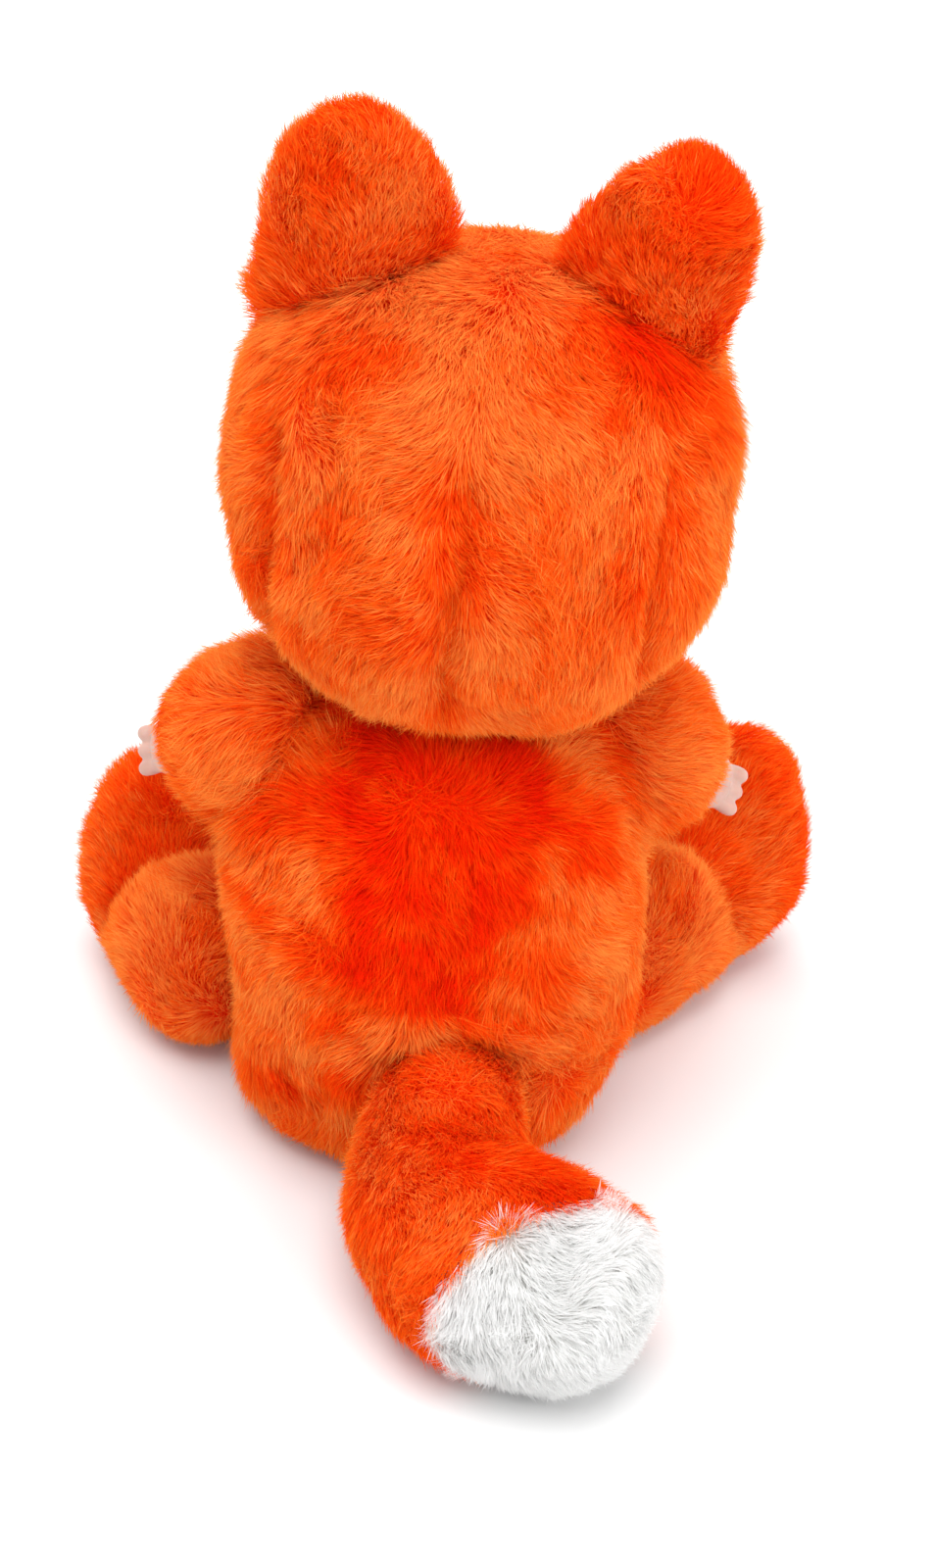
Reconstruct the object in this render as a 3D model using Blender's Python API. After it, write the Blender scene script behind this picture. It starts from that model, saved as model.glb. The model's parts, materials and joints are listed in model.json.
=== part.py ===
"""A small plush fox that sits on the floor, with a head, arms and legs that turn on disc joints.

The fox faces -Y, its own left is +X, up is +Z and the floor is z = 0. Sizes are in metres.
"""

import math

import bmesh
import bpy
import numpy as np
from mathutils import Matrix, Vector

# Clearances and walls
GAP = 0.0003  # between neighbouring pieces
FILL_GAP = 0.0006  # between a skin and its filling
WALL = 0.0040  # a skin, its backing and the pile together
JOINT_WALL = 0.0020  # the backing alone, where a joint clamps it
PANEL = 0.0018  # a panel of another cloth, sewn flush into a skin
FLOOR_CUT = 0.0005  # how much of a form the floor flattens
OVERRUN = 0.0100  # how far a cutter runs past what it cuts
REACH = 0.1500  # half the side of the blocks that cut with one flat face

# Torso, a squarish pear that is cut flat at the neck, the shoulders and the hips
TORSO_HALF_WIDTH = 0.0408
TORSO_HALF_DEPTH = 0.0372
TORSO_GIRTH_Z = 0.0360
TORSO_RISE = 0.0650
TORSO_POWERS = (4.4, 2.3, 2.4)  # roundness below, above and in plan
BELLY_HALF_WIDTH = 0.0215
BELLY_HALF_HEIGHT = 0.0270
BELLY_Z = 0.0400

# Bag of pellets that weights the seat
BAG_TOP = 0.0120

# Neck and head; the head is held turned to the fox's right
NECK_Y = -0.0040
NECK_BELOW_TOP = 0.0070  # the neck's flat is this far below the top of the body's form
NECK_Z = TORSO_GIRTH_Z + TORSO_RISE - NECK_BELOW_TOP
HEAD_TURN = math.radians(-13)
HEAD_HALF_WIDTH = 0.0468
HEAD_HALF_DEPTH = 0.0440
HEAD_HALF_HEIGHT = 0.0456
HEAD_POWERS = (2.25, 2.2, 2.15)
HEAD_FORWARD = 0.0060  # the head's middle is this far before the neck
HEAD_DROP = 0.0016  # the neck's flat takes this much off the head's lowest point

# Face
MUZZLE_HALF_WIDTH = 0.0172
MUZZLE_HALF_DEPTH = 0.0232
MUZZLE_HALF_HEIGHT = 0.0124
MUZZLE_LOW = 0.0130  # below the head's middle
MUZZLE_WALL = 0.0028
NOSE_HALF_WIDTH = 0.0058
NOSE_HALF_HEIGHT = 0.0040
NOSE_HALF_DEPTH = 0.0034
NOSE_LIFT = 0.0036  # above the muzzle's middle
EYE_RADIUS = 0.0052
EYE_BULGE = 0.0030
EYE_OUT = 0.0175
EYE_UP = 0.0040
CHEEK_OUT = 0.0250
CHEEK_LOW = 0.0130
CHEEK_HALF_WIDTH = 0.0150
CHEEK_HALF_HEIGHT = 0.0125
SHANK_RADIUS = 0.0013
SHANK_LENGTH = 0.0110
FACE_WASHER_RADIUS = 0.0038
FACE_WASHER = 0.0012

# Ears
EAR_HALF_WIDTH = 0.0172
EAR_HALF_THICKNESS = 0.0062
EAR_HEIGHT = 0.0335  # above its seat on the head
EAR_ROOT = 0.0120  # the part that the head's surface cuts away
EAR_OUT = 0.0272
EAR_UP = 0.0375
EAR_CUP = 0.0050  # how far its edges come forward of its middle
EAR_LEANS = {"left": math.radians(-1), "right": math.radians(13)}
EAR_WIDTH_SHARES = ((0.0, 0.98), (0.25, 1.0), (0.5, 0.97), (0.75, 0.78), (0.9, 0.58), (1.0, 0.36))
EAR_THICKNESS_SHARES = ((0.0, 1.0), (0.4, 1.0), (0.7, 0.9), (0.9, 0.7), (1.0, 0.5))

# Arms: stubs that reach out, forward and down from the shoulders
SHOULDER_OUT = 0.0306
SHOULDER_Y = -0.0100
SHOULDER_DROP = 0.0150  # below the neck's flat
SHOULDER_Z = NECK_Z - SHOULDER_DROP
SHOULDER_YAW = math.radians(15)
SHOULDER_TILT = math.radians(24)
ARM_RADIUS = 0.0167
ARM_REACH = 0.0150  # how far out of the shoulder the arm's middle line runs
# the line from inside the shoulder to the cuff, as shares of that reach: out, ahead and down
ARM_LINE_SHARES = (
    (-0.60, 0.13, 0.0),
    (0.0, 0.0, 0.0),
    (0.39, -0.19, -0.05),
    (0.72, -0.41, -0.27),
    (1.0, -0.59, -0.46),
)
ARM_SWINGS = {"left": 0.0, "right": math.radians(24)}  # how far each arm is turned back
ARM_SHARES = ((0.0, 0.95), (0.3, 1.0), (0.6, 1.0), (0.85, 0.93), (1.0, 0.80))
ARM_CAP = 0.0090  # the round end inside the shoulder's flat
CUFF_CAP = 0.0075

# Vinyl hands
WRIST_RADIUS = 0.0042
WRIST_GROOVE = 0.0008
WRIST_PAST = 0.0032  # how far the plug runs past the tie
PALM_HALF_WIDTH = 0.0060
PALM_HALF_THICKNESS = 0.0037
PALM_HALF_LENGTH = 0.0047
PALM_PROUD = 0.0026  # the palm's middle is this far past the cuff's end
FINGER_RADIUS = 0.0018
FINGER_LENGTH = 0.0045
FINGER_FAN = math.radians(5)
FINGER_SPACING_SHARE = 0.53
FINGER_START_SHARE = 0.5  # of half the palm's length, past its middle
FINGER_SHARES = ((0.0, 1.05), (0.35, 0.94), (0.7, 1.0), (1.0, 0.96))  # along it, and its radius there
THUMB_SHARE = 0.85
THUMB_OUT = math.radians(20)
THUMB_LEAN = math.radians(55)
HAND_ROLL = math.radians(125)
TIE_SETBACK = 0.0012  # from the cuff's cloth to the tie
TIE_WIDTH = 0.0016
TIE_THICKNESS = 0.0014

# Legs: each lies along the floor from the hip and ends in a foot that stands up
HIP_OUT = 0.0372
HIP_Y = -0.0130
HIP_Z = 0.0200
THIGH_OUT = 0.0462
THIGH_Y = -0.0210
LEG_HALF_WIDTH = 0.0160
LEG_YAWS = {"left": math.radians(15), "right": math.radians(41)}
LEG_REACHES = {"left": 0.0350, "right": 0.0500}
THIGH_BACK = 0.0185  # from the thigh's middle to its rear end
SOLE_BULGE = 0.0062
FOOT_HEIGHT = 0.0480
# along the leg as a share of its reach, then its half width, low edge and high edge as shares
LEG_SHARES = (
    (0.00, 1.00, 0.00, 0.79),
    (0.25, 0.98, 0.00, 0.76),
    (0.45, 0.93, 0.00, 0.73),
    (0.56, 0.93, 0.00, 0.83),
    (0.68, 0.96, 0.00, 0.96),
    (0.80, 0.95, 0.02, 1.00),
)
SOLE_HALF_WIDTH = 0.0105
SOLE_HALF_HEIGHT = 0.0155

# Tail: a ball end in a socket, then a thick brush that slopes to the floor and bends to the right
TAIL_Y = 0.0345
TAIL_Z = 0.0270
TAIL_BALL = 0.0140
TAIL_SOCKET = 0.0146
TAIL_RADIUS = 0.0205
TAIL_REACH = 0.0532  # how far back of the ball its middle line runs
# the line from the ball, as shares of that reach: back and to the left
TAIL_LINE_SHARES = ((0.0, 0.0), (0.257, 0.033), (0.514, 0.055), (0.789, -0.110), (1.0, -0.349))
TAIL_LYING_SHARE = 0.5  # from here on the tail lies on the floor
TAIL_SHARES = ((0.0, 0.63), (0.1, 0.645), (0.2, 0.73), (0.40, 0.86), (0.65, 0.99), (0.85, 1.0), (1.0, 0.90))
TAIL_CAP = 0.0140
TAIL_TIP_SHARE = 0.92  # where the white tip starts, along the line
TAIL_TIP_YAW = math.radians(23)  # its seam faces straight back but for this turn to the right

# Disc joints, from the limb's disc to the washer that locks it inside the torso
DISC_RADII = {"neck": 0.0115, "shoulder": 0.0088, "hip": 0.0070}
DISC = 0.0018
STEM_RADIUS = 0.0022
WASHER_SHARE = 0.92
LOCK_RADIUS = 0.0048
LOCK = 0.0014
STEM_PAST = 0.0022
POCKET = 0.0060  # how deep the room for a disc is cut

# Facets
FORM_SIDES = 24
FORM_ROWS = 12
CORE_SIDES = 12
CORE_ROWS = 6
HEAD_CORE_SIDES = 16
HEAD_CORE_ROWS = 8
MUZZLE_SIDES = 20
MUZZLE_ROWS = 10
NOSE_ROWS = 8
PALM_ROWS = 8
OVAL_ROUNDNESS = 2.0
TURNED_SIDES = 16
SMALL_SIDES = 10
DOME_STEPS = 4
DOME_BACK_SHARE = 0.8
ARM_ROWS = 7
ARM_CORE_ROWS = 4
TAIL_ROWS = 8
TAIL_CORE_ROWS = 5
TAIL_CAP_ROWS = 4
EAR_ROWS = 7
EAR_ROUNDNESS = 2.2
EAR_LINING_WIDTH_SHARE = 0.62
EAR_LINING_HEIGHT_SHARE = 0.36
EAR_LINING_PLACE_SHARE = 0.52
LEG_ROUNDNESS = 2.3
HEEL_SHARES = (0.40, 0.72, 0.92)  # half widths of the rings that round the thigh's rear end
SOLE_SHARES = (0.86, 0.50)
ARM_END_SHARE = 0.9

SIDES = {"left": 1.0, "right": -1.0}
PIVOTS = {}


# Scene, materials and helpers


def clear_scene():
    for obj in list(bpy.data.objects):
        bpy.data.objects.remove(obj, do_unlink=True)


def material(name, colour, roughness, metallic=0.0):
    made = bpy.data.materials.get(name)
    if made is None:
        made = bpy.data.materials.new(name)
        made.use_nodes = True
        shader = made.node_tree.nodes["Principled BSDF"]
        shader.inputs["Base Color"].default_value = (*colour, 1.0)
        shader.inputs["Roughness"].default_value = roughness
        shader.inputs["Metallic"].default_value = metallic
        made.diffuse_color = (*colour, 1.0)
    return made


def orange_plush():
    return material("orange_plush", (0.85, 0.10, 0.01), 0.9)


def white_plush():
    return material("white_plush", (0.78, 0.77, 0.74), 0.9)


def cream_plush():
    return material("cream_plush", (0.86, 0.74, 0.58), 0.9)


def vinyl():
    return material("vinyl", (0.82, 0.58, 0.50), 0.45)


def black_plastic():
    return material("black_plastic", (0.02, 0.018, 0.018), 0.15)


def white_plastic():
    return material("white_plastic", (0.80, 0.80, 0.78), 0.5)


def fibre_fill():
    return material("fibre_fill", (0.88, 0.88, 0.86), 0.95)


def bag_cloth():
    return material("bag_cloth", (0.70, 0.68, 0.62), 0.9)


def pivot(name, place, turn=0.0):
    """An empty on a joint; the pieces and cutters of its body hang on it, in its own frame."""
    empty = bpy.data.objects.new(name, None)
    empty.location = place
    empty.rotation_euler = (0.0, 0.0, turn)
    empty.empty_display_size = OVERRUN
    bpy.context.scene.collection.objects.link(empty)
    PIVOTS[name] = empty
    return empty


def add(name, bm, body, surface=None):
    """A new object from a bmesh: a piece if it has a surface, else a hidden cutter."""
    bm.normal_update()
    bmesh.ops.recalc_face_normals(bm, faces=bm.faces)
    mesh = bpy.data.meshes.new(name)
    bm.to_mesh(mesh)
    bm.free()
    obj = bpy.data.objects.new(name, mesh)
    bpy.context.scene.collection.objects.link(obj)
    obj.parent = body
    if surface is None:
        obj.hide_render = True
        obj.display_type = "WIRE"
        return obj
    mesh.materials.append(surface)
    mesh.shade_smooth()
    mesh.set_sharp_from_angle(angle=math.radians(40))
    return obj


def grown(source, name, body, offset):
    """The same mesh again, with its surface moved outwards by the offset."""
    bm = bmesh.new()
    bm.from_mesh(source.data)
    bm.normal_update()
    moves = [vert.normal * offset for vert in bm.verts]
    for vert, move in zip(bm.verts, moves):
        vert.co += move
    return add(name, bm, body)


def moved(source, name, body, move, surface=None):
    """The same mesh again, moved in its body's frame."""
    bm = bmesh.new()
    bm.from_mesh(source.data)
    bm.transform(Matrix.Translation(move))
    return add(name, bm, body, surface)


def combine(obj, operation, others):
    for other in others:
        boolean = obj.modifiers.new(operation.lower() + "_" + other.name, "BOOLEAN")
        boolean.operation = operation
        boolean.solver = "EXACT"
        boolean.object = other
    return obj


def cut(obj, *cutters):
    return combine(obj, "DIFFERENCE", cutters)


def keep(obj, *others):
    return combine(obj, "INTERSECT", others)


def join(obj, *others):
    return combine(obj, "UNION", others)


# Shapes


def between(rows, share):
    """The values of a table of rows, read at a share along it, along a smooth curve."""
    table = np.array(rows, float)
    at = np.clip(share, table[0, 0], table[-1, 0])
    k = int(np.clip(np.searchsorted(table[:, 0], at, side="right") - 1, 0, len(table) - 2))
    a, b = table[k], table[k + 1]
    before = table[max(k - 1, 0)]
    after = table[min(k + 2, len(table) - 1)]
    width = b[0] - a[0]
    t = (at - a[0]) / width
    slope_a = (b - before) / (b[0] - before[0])
    slope_b = (after - a) / (after[0] - a[0])
    basis = (2 * t**3 - 3 * t**2 + 1, t**3 - 2 * t**2 + t, 3 * t**2 - 2 * t**3, t**3 - t**2)
    value = basis[0] * a + basis[1] * width * slope_a + basis[2] * b + basis[3] * width * slope_b
    return value[1:]


def power(value, exponent):
    return math.copysign(abs(value) ** exponent, value)


def loop_shape(half_width, half_height, roundness, sides):
    """Points round a superellipse; roundness 2 is an ellipse, and more is squarer."""
    points = []
    for k in range(sides):
        turn = 2 * math.pi * k / sides
        across = half_width * power(math.cos(turn), 2 / roundness)
        up = half_height * power(math.sin(turn), 2 / roundness)
        points.append((across, up))
    return points


def loft(rings):
    """A closed skin through rings of points; a ring of one point closes an end."""
    bm = bmesh.new()
    loops = [[bm.verts.new(point) for point in ring] for ring in rings]
    for low, high in zip(loops, loops[1:]):
        count = max(len(low), len(high))
        for k in range(count):
            after = (k + 1) % count
            corners = [low[k % len(low)], low[after % len(low)]]
            corners += [high[after % len(high)], high[k % len(high)]]
            bm.faces.new(list(dict.fromkeys(corners)))
    return bm


def egg(centre, half_width, half_depth, low, high, powers, rows=FORM_ROWS, sides=FORM_SIDES):
    """A rounded form round a vertical axis, with its own height and roundness below and above."""
    x, y, z = centre
    rings = []
    for k in range(rows + 1):
        turn = math.pi * (k / rows - 1 / 2)
        height, exponent = (low, powers[0]) if turn < 0 else (high, powers[1])
        level = z + height * power(math.sin(turn), 2 / exponent)
        share = abs(math.cos(turn)) ** (2 / exponent)
        if k in (0, rows):
            rings.append([(x, y, level)])
            continue
        shape = loop_shape(half_width * share, half_depth * share, powers[2], sides)
        rings.append([(x + a, y + b, level) for a, b in shape])
    return loft(rings)


def egg_front(half_width, half_depth, half_height, powers, across, up):
    """How far the surface of such a form lies before its middle, at a place on its front."""
    level = (1 - abs(up / half_height) ** powers[1]) ** (1 / powers[1])
    share = abs(across / (half_width * level)) ** powers[2]
    return half_depth * level * (1 - share) ** (1 / powers[2])


def sweep(places, sizes, first_cap, last_cap, roundness=OVAL_ROUNDNESS, sides=FORM_SIDES, caps=3,
          up=(0, 0, 1)):
    """A tube along places, with a half width and a half height at each, closed by round ends."""
    places = [Vector(place) for place in places]
    count = len(places)
    ways = []
    for k in range(count):
        way = places[min(k + 1, count - 1)] - places[max(k - 1, 0)]
        ways.append(way.normalized())
    rings = []

    def ring(place, way, width, height):
        side = way.cross(Vector(up)).normalized()
        rise = side.cross(way)
        shape = loop_shape(width, height, roundness, sides)
        return [place + side * a + rise * b for a, b in shape]

    rings.append([places[0] - ways[0] * first_cap])
    for k in range(1, caps):
        turn = math.pi / 2 * k / caps
        place = places[0] - ways[0] * first_cap * math.cos(turn)
        width, height = (size * math.sin(turn) for size in sizes[0])
        rings.append(ring(place, ways[0], width, height))
    for place, way, (width, height) in zip(places, ways, sizes):
        rings.append(ring(place, way, width, height))
    for k in reversed(range(1, caps)):
        turn = math.pi / 2 * k / caps
        place = places[-1] + ways[-1] * last_cap * math.cos(turn)
        width, height = (size * math.sin(turn) for size in sizes[-1])
        rings.append(ring(place, ways[-1], width, height))
    rings.append([places[-1] + ways[-1] * last_cap])
    return loft(rings)


def axis_frame(place, axis):
    """The matrix of a frame at a place, with its own Z along the axis."""
    turn = Vector(axis).to_track_quat("Z", "Y").to_matrix().to_4x4()
    return Matrix.Translation(Vector(place)) @ turn


def turned(frame, profile, sides=TURNED_SIDES, ring=False):
    """A round piece about the frame's Z; a ring is hollow, and its outline closes on itself."""
    bm = bmesh.new()
    loops = []
    for radius, level in profile:
        count = sides if radius > 0 else 1
        loop = []
        for k in range(count):
            turn = 2 * math.pi * k / sides
            point = (radius * math.cos(turn), radius * math.sin(turn), level)
            loop.append(bm.verts.new(frame @ Vector(point)))
        loops.append(loop)
    pairs = list(zip(loops, loops[1:]))
    if ring:
        pairs.append((loops[-1], loops[0]))
    for low, high in pairs:
        for k in range(sides):
            after = (k + 1) % sides
            corners = [low[k % len(low)], low[after % len(low)]]
            corners += [high[after % len(high)], high[k % len(high)]]
            bm.faces.new(list(dict.fromkeys(corners)))
    return bm


def rod(name, body, frame, radius, low, high, surface=None, sides=TURNED_SIDES):
    profile = ((0.0, low), (radius, low), (radius, high), (0.0, high))
    return add(name, turned(frame, profile, sides), body, surface)


def washer(name, body, frame, hole, radius, low, high, surface, sides=TURNED_SIDES):
    profile = ((hole, low), (radius, low), (radius, high), (hole, high))
    return add(name, turned(frame, profile, sides, ring=True), body, surface)


def block_beyond(name, body, frame, level=0.0):
    """A block that cuts away all that lies past a level along the frame's Z."""
    bm = bmesh.new()
    bmesh.ops.create_cube(bm, size=2 * REACH)
    bm.transform(frame @ Matrix.Translation((0, 0, REACH + level)))
    return add(name, bm, body)


def oval_prism(name, body, frame, half_width, half_height, low, high, grow=0.0):
    """An oval post along the frame's Z, used to cut a panel out of a skin."""
    shape = loop_shape(half_width + grow, half_height + grow, OVAL_ROUNDNESS, FORM_SIDES)
    rings = [[(0, 0, low)], [(a, b, low) for a, b in shape]]
    rings += [[(a, b, high) for a, b in shape], [(0, 0, high)]]
    bm = loft(rings)
    bm.transform(frame)
    return add(name, bm, body)


def panel(name, skin, form, body, surface, post):
    """A panel flush in a skin's face: the outermost layer of the form, inside an oval post."""
    frame, half_width, half_height, low, high = post
    out = frame.to_3x3() @ Vector((0, 0, 1))
    size = (half_width, half_height, low, high)
    piece = moved(form, name, body, Vector(), surface)
    keep(piece, oval_prism(name + "_edge", body, frame, *size))
    cut(piece, moved(form, name + "_under", body, -out * PANEL))
    room = oval_prism(name + "_room", body, frame, *size, GAP)
    cut(room, moved(form, name + "_bed", body, -out * (PANEL + GAP)))
    cut(skin, room)
    return piece


def floor_block(name, body, level=0.0):
    """A block that cuts away what lies under a level above the floor."""
    origin = body.location if body else Vector((0, 0, 0))
    down = axis_frame((0, 0, level - origin.z), (0, 0, -1))
    return block_beyond(name, body, down)


# Disc joints


class DiscJoint:
    """A disc in the limb whose stem passes into the torso, a washer there and a lock on its end.

    Levels run along the joint's axis, from the torso's flat at 0 into the limb.
    """

    def __init__(self, name, kind, place, axis, torso, limb):
        self.name = name
        self.torso = torso
        self.limb = limb
        self.frame = axis_frame(place, axis)
        self.inner = axis_frame(Vector(place) - limb.location, axis)
        self.radius = DISC_RADII[kind]
        self.disc_low = GAP + JOINT_WALL + GAP
        self.disc_high = self.disc_low + DISC
        self.plain_high = -JOINT_WALL - GAP
        self.plain_low = self.plain_high - DISC
        self.lock_high = self.plain_low - GAP
        self.lock_low = self.lock_high - LOCK
        self.stem_low = self.lock_low - STEM_PAST

    def make(self):
        plastic = white_plastic()
        outline = ((0.0, self.stem_low), (STEM_RADIUS, self.stem_low))
        outline += ((STEM_RADIUS, self.disc_low), (self.radius, self.disc_low))
        outline += ((self.radius, self.disc_high), (0.0, self.disc_high))
        add(self.name + "_stem_disc", turned(self.inner, outline), self.limb, plastic)
        hole = STEM_RADIUS + GAP
        plain = (hole, self.radius * WASHER_SHARE, self.plain_low, self.plain_high)
        washer(self.name + "_plain_disc", self.torso, self.frame, *plain, plastic)
        lock = (hole, LOCK_RADIUS, self.lock_low, self.lock_high)
        washer(self.name + "_lock_washer", self.limb, self.inner, *lock, plastic)

    def hole(self, body, frame):
        label = self.name + "_hole_" + body.name
        return rod(label, body, frame, STEM_RADIUS + GAP, -OVERRUN, OVERRUN)

    def open_torso(self, skin):
        """Room for the washers behind the torso's flat, and the stem's hole."""
        room = self.radius * WASHER_SHARE + GAP
        low = -JOINT_WALL - POCKET
        seat = rod(self.name + "_seat", self.torso, self.frame, room, low, -JOINT_WALL)
        cut(skin, seat, self.hole(self.torso, self.frame))

    def open_limb(self, skin):
        """Room for the disc behind the limb's flat, and the stem's hole."""
        low = GAP + JOINT_WALL
        pocket = rod(self.name + "_pocket", self.limb, self.inner, self.radius + GAP, low, low + POCKET)
        cut(skin, pocket, self.hole(self.limb, self.inner))

    def clear_torso(self, filling):
        room = self.radius * WASHER_SHARE + GAP
        low = self.stem_low - GAP
        label = self.name + "_space"
        cut(filling, rod(label, self.torso, self.frame, room, low, OVERRUN))

    def clear_limb(self, filling):
        high = self.disc_high + GAP
        label = self.name + "_room"
        room = rod(label, self.limb, self.inner, self.radius + GAP, -OVERRUN, high)
        cut(filling, self.limb_flat("filling", JOINT_WALL + GAP), room)

    def torso_flat(self):
        return block_beyond(self.name + "_flat", self.torso, self.frame)

    def limb_flat(self, what, level=0.0):
        back = self.inner @ Matrix.Rotation(math.pi, 4, "X")
        return block_beyond(f"{self.name}_{what}_face", self.limb, back, -GAP - level)


def shoulder_axis(side):
    across = math.cos(SHOULDER_TILT) * math.cos(SHOULDER_YAW)
    ahead = -math.cos(SHOULDER_TILT) * math.sin(SHOULDER_YAW)
    return Vector((side * across, ahead, math.sin(SHOULDER_TILT)))


def make_joints(torso):
    """The neck's, shoulders' and hips' joints, each with the pivot of the body that it turns."""
    joints = {}
    neck = Vector((0, NECK_Y, NECK_Z))
    head = pivot("neck_pivot", neck, HEAD_TURN)
    joints["neck"] = DiscJoint("neck", "neck", neck, (0, 0, 1), torso, head)
    for name, side in SIDES.items():
        place = Vector((side * SHOULDER_OUT, SHOULDER_Y, SHOULDER_Z))
        arm = pivot(f"shoulder_{name}_pivot", place)
        label = f"shoulder_{name}"
        joints[label] = DiscJoint(label, "shoulder", place, shoulder_axis(side), torso, arm)
        place = Vector((side * HIP_OUT, HIP_Y, HIP_Z))
        leg = pivot(f"hip_{name}_pivot", place)
        label = f"hip_{name}"
        joints[label] = DiscJoint(label, "hip", place, (side, 0, 0), torso, leg)
    for joint in joints.values():
        joint.make()
    return joints


# Torso


def torso_form(name, body, offset=0.0, rows=FORM_ROWS, sides=FORM_SIDES, surface=None):
    low = TORSO_GIRTH_Z + FLOOR_CUT + offset
    size = (TORSO_HALF_WIDTH + offset, TORSO_HALF_DEPTH + offset, low, TORSO_RISE + offset)
    bm = egg((0, 0, TORSO_GIRTH_Z), *size, TORSO_POWERS, rows, sides)
    return add(name, bm, body, surface)


def make_torso(torso, joints):
    form = torso_form("torso_form", torso)
    skin = torso_form("torso_skin", torso, surface=orange_plush())
    flats = [joint.torso_flat() for joint in joints.values()]
    socket_place = Matrix.Translation((0, TAIL_Y, TAIL_Z))
    socket = add("tail_socket", ball(socket_place, TAIL_SOCKET), torso)
    cut(skin, floor_block("torso_floor", torso), *flats, socket)

    core = torso_form("torso_core", torso, -WALL, CORE_ROWS, CORE_SIDES)
    neck = joints["neck"]
    lid = block_beyond("torso_lid", torso, neck.frame, -JOINT_WALL)
    wall = add("tail_wall", ball(socket_place, TAIL_SOCKET + JOINT_WALL), torso)
    cut(core, lid, wall)
    cut(skin, core)
    for joint in joints.values():
        joint.open_torso(skin)
    ahead = axis_frame((0, 0, BELLY_Z), (0, -1, 0))
    post = (ahead, BELLY_HALF_WIDTH, BELLY_HALF_HEIGHT, TORSO_HALF_DEPTH / 2, REACH)
    panel("belly_panel", skin, form, torso, cream_plush(), post)

    inner = (torso, -WALL - FILL_GAP, CORE_ROWS, CORE_SIDES)
    filling = torso_form("torso_stuffing", *inner, fibre_fill())
    cover = block_beyond("stuffing_lid", torso, neck.frame, -JOINT_WALL - GAP)
    about = add("tail_clear", ball(socket_place, TAIL_SOCKET + JOINT_WALL + GAP), torso)
    cut(filling, cover, about, floor_block("stuffing_floor", torso, BAG_TOP + GAP))
    for joint in joints.values():
        joint.clear_torso(filling)
    bag = torso_form("pellet_bag", *inner, bag_cloth())
    cut(bag, block_beyond("bag_lid", torso, axis_frame((0, 0, BAG_TOP), (0, 0, 1))), about)


def ball(place, radius, rows=FORM_ROWS, sides=FORM_SIDES):
    profile = []
    for k in range(rows + 1):
        turn = math.pi * k / rows
        around = radius * math.sin(turn) if 0 < k < rows else 0.0
        profile.append((around, radius * math.cos(turn)))
    return turned(place, profile, sides)


# Head


def head_centre():
    return Vector((0, -HEAD_FORWARD, GAP + HEAD_HALF_HEIGHT - HEAD_DROP))


def head_form(name, body, offset=0.0, rows=FORM_ROWS, sides=FORM_SIDES, surface=None):
    high = HEAD_HALF_HEIGHT + offset
    size = (HEAD_HALF_WIDTH + offset, HEAD_HALF_DEPTH + offset, high, high)
    return add(name, egg(head_centre(), *size, HEAD_POWERS, rows, sides), body, surface)


def face_place(across, up):
    """A point on the head's front, measured from the head's middle."""
    size = (HEAD_HALF_WIDTH, HEAD_HALF_DEPTH, HEAD_HALF_HEIGHT)
    return Vector((across, -egg_front(*size, HEAD_POWERS, across, up), up))


def make_eyes(head, skin, form, filling):
    clear = grown(form, "eye_clear", head, GAP)
    for name, side in SIDES.items():
        out = face_place(side * EYE_OUT, EYE_UP)
        frame = axis_frame(head_centre() + out, out.normalized())
        dome = turned(frame, dome_profile(EYE_RADIUS, EYE_BULGE))
        eye = add(f"eye_{name}", dome, head, black_plastic())
        cut(eye, clear)
        shank = (SHANK_RADIUS, -SHANK_LENGTH, EYE_BULGE / 2)
        join(eye, rod(f"eye_shank_{name}", head, frame, *shank, sides=SMALL_SIDES))
        face_washer(f"eye_washer_{name}", head, skin, frame, WALL, filling)


def dome_profile(radius, bulge):
    """The outline of a low dome on a thin edge, from its flat back to its top."""
    profile = [(0.0, -bulge / 2), (radius * DOME_BACK_SHARE, -bulge / 2)]
    for k in range(DOME_STEPS):
        turn = math.pi / 2 * k / DOME_STEPS
        profile.append((radius * math.cos(turn), bulge * math.sin(turn)))
    profile.append((0.0, bulge))
    return profile


def face_washer(name, head, skin, frame, wall, filling):
    """The washer behind an eye or the nose, with its seat, its shank's hole and its room."""
    hole = SHANK_RADIUS + GAP
    high = -wall - GAP
    low = high - FACE_WASHER
    washer(name, head, frame, hole, FACE_WASHER_RADIUS, low, high, white_plastic(), SMALL_SIDES)
    room = FACE_WASHER_RADIUS + GAP
    seat = rod(name + "_seat", head, frame, room, low - FACE_WASHER, -wall, sides=SMALL_SIDES)
    bore = rod(name + "_bore", head, frame, hole, -wall - OVERRUN, OVERRUN, sides=SMALL_SIDES)
    cut(skin, seat, bore)
    past = -SHANK_LENGTH - GAP
    cut(filling, rod(name + "_space", head, frame, room, past, OVERRUN, sides=SMALL_SIDES))


def muzzle_form(name, body, offset=0.0, surface=None):
    centre = head_centre() + face_place(0.0, -MUZZLE_LOW)
    low = MUZZLE_HALF_HEIGHT + offset
    size = (MUZZLE_HALF_WIDTH + offset, MUZZLE_HALF_DEPTH + offset, low, low)
    return add(name, egg(centre, *size, HEAD_POWERS, MUZZLE_ROWS, MUZZLE_SIDES), body, surface)


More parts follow.
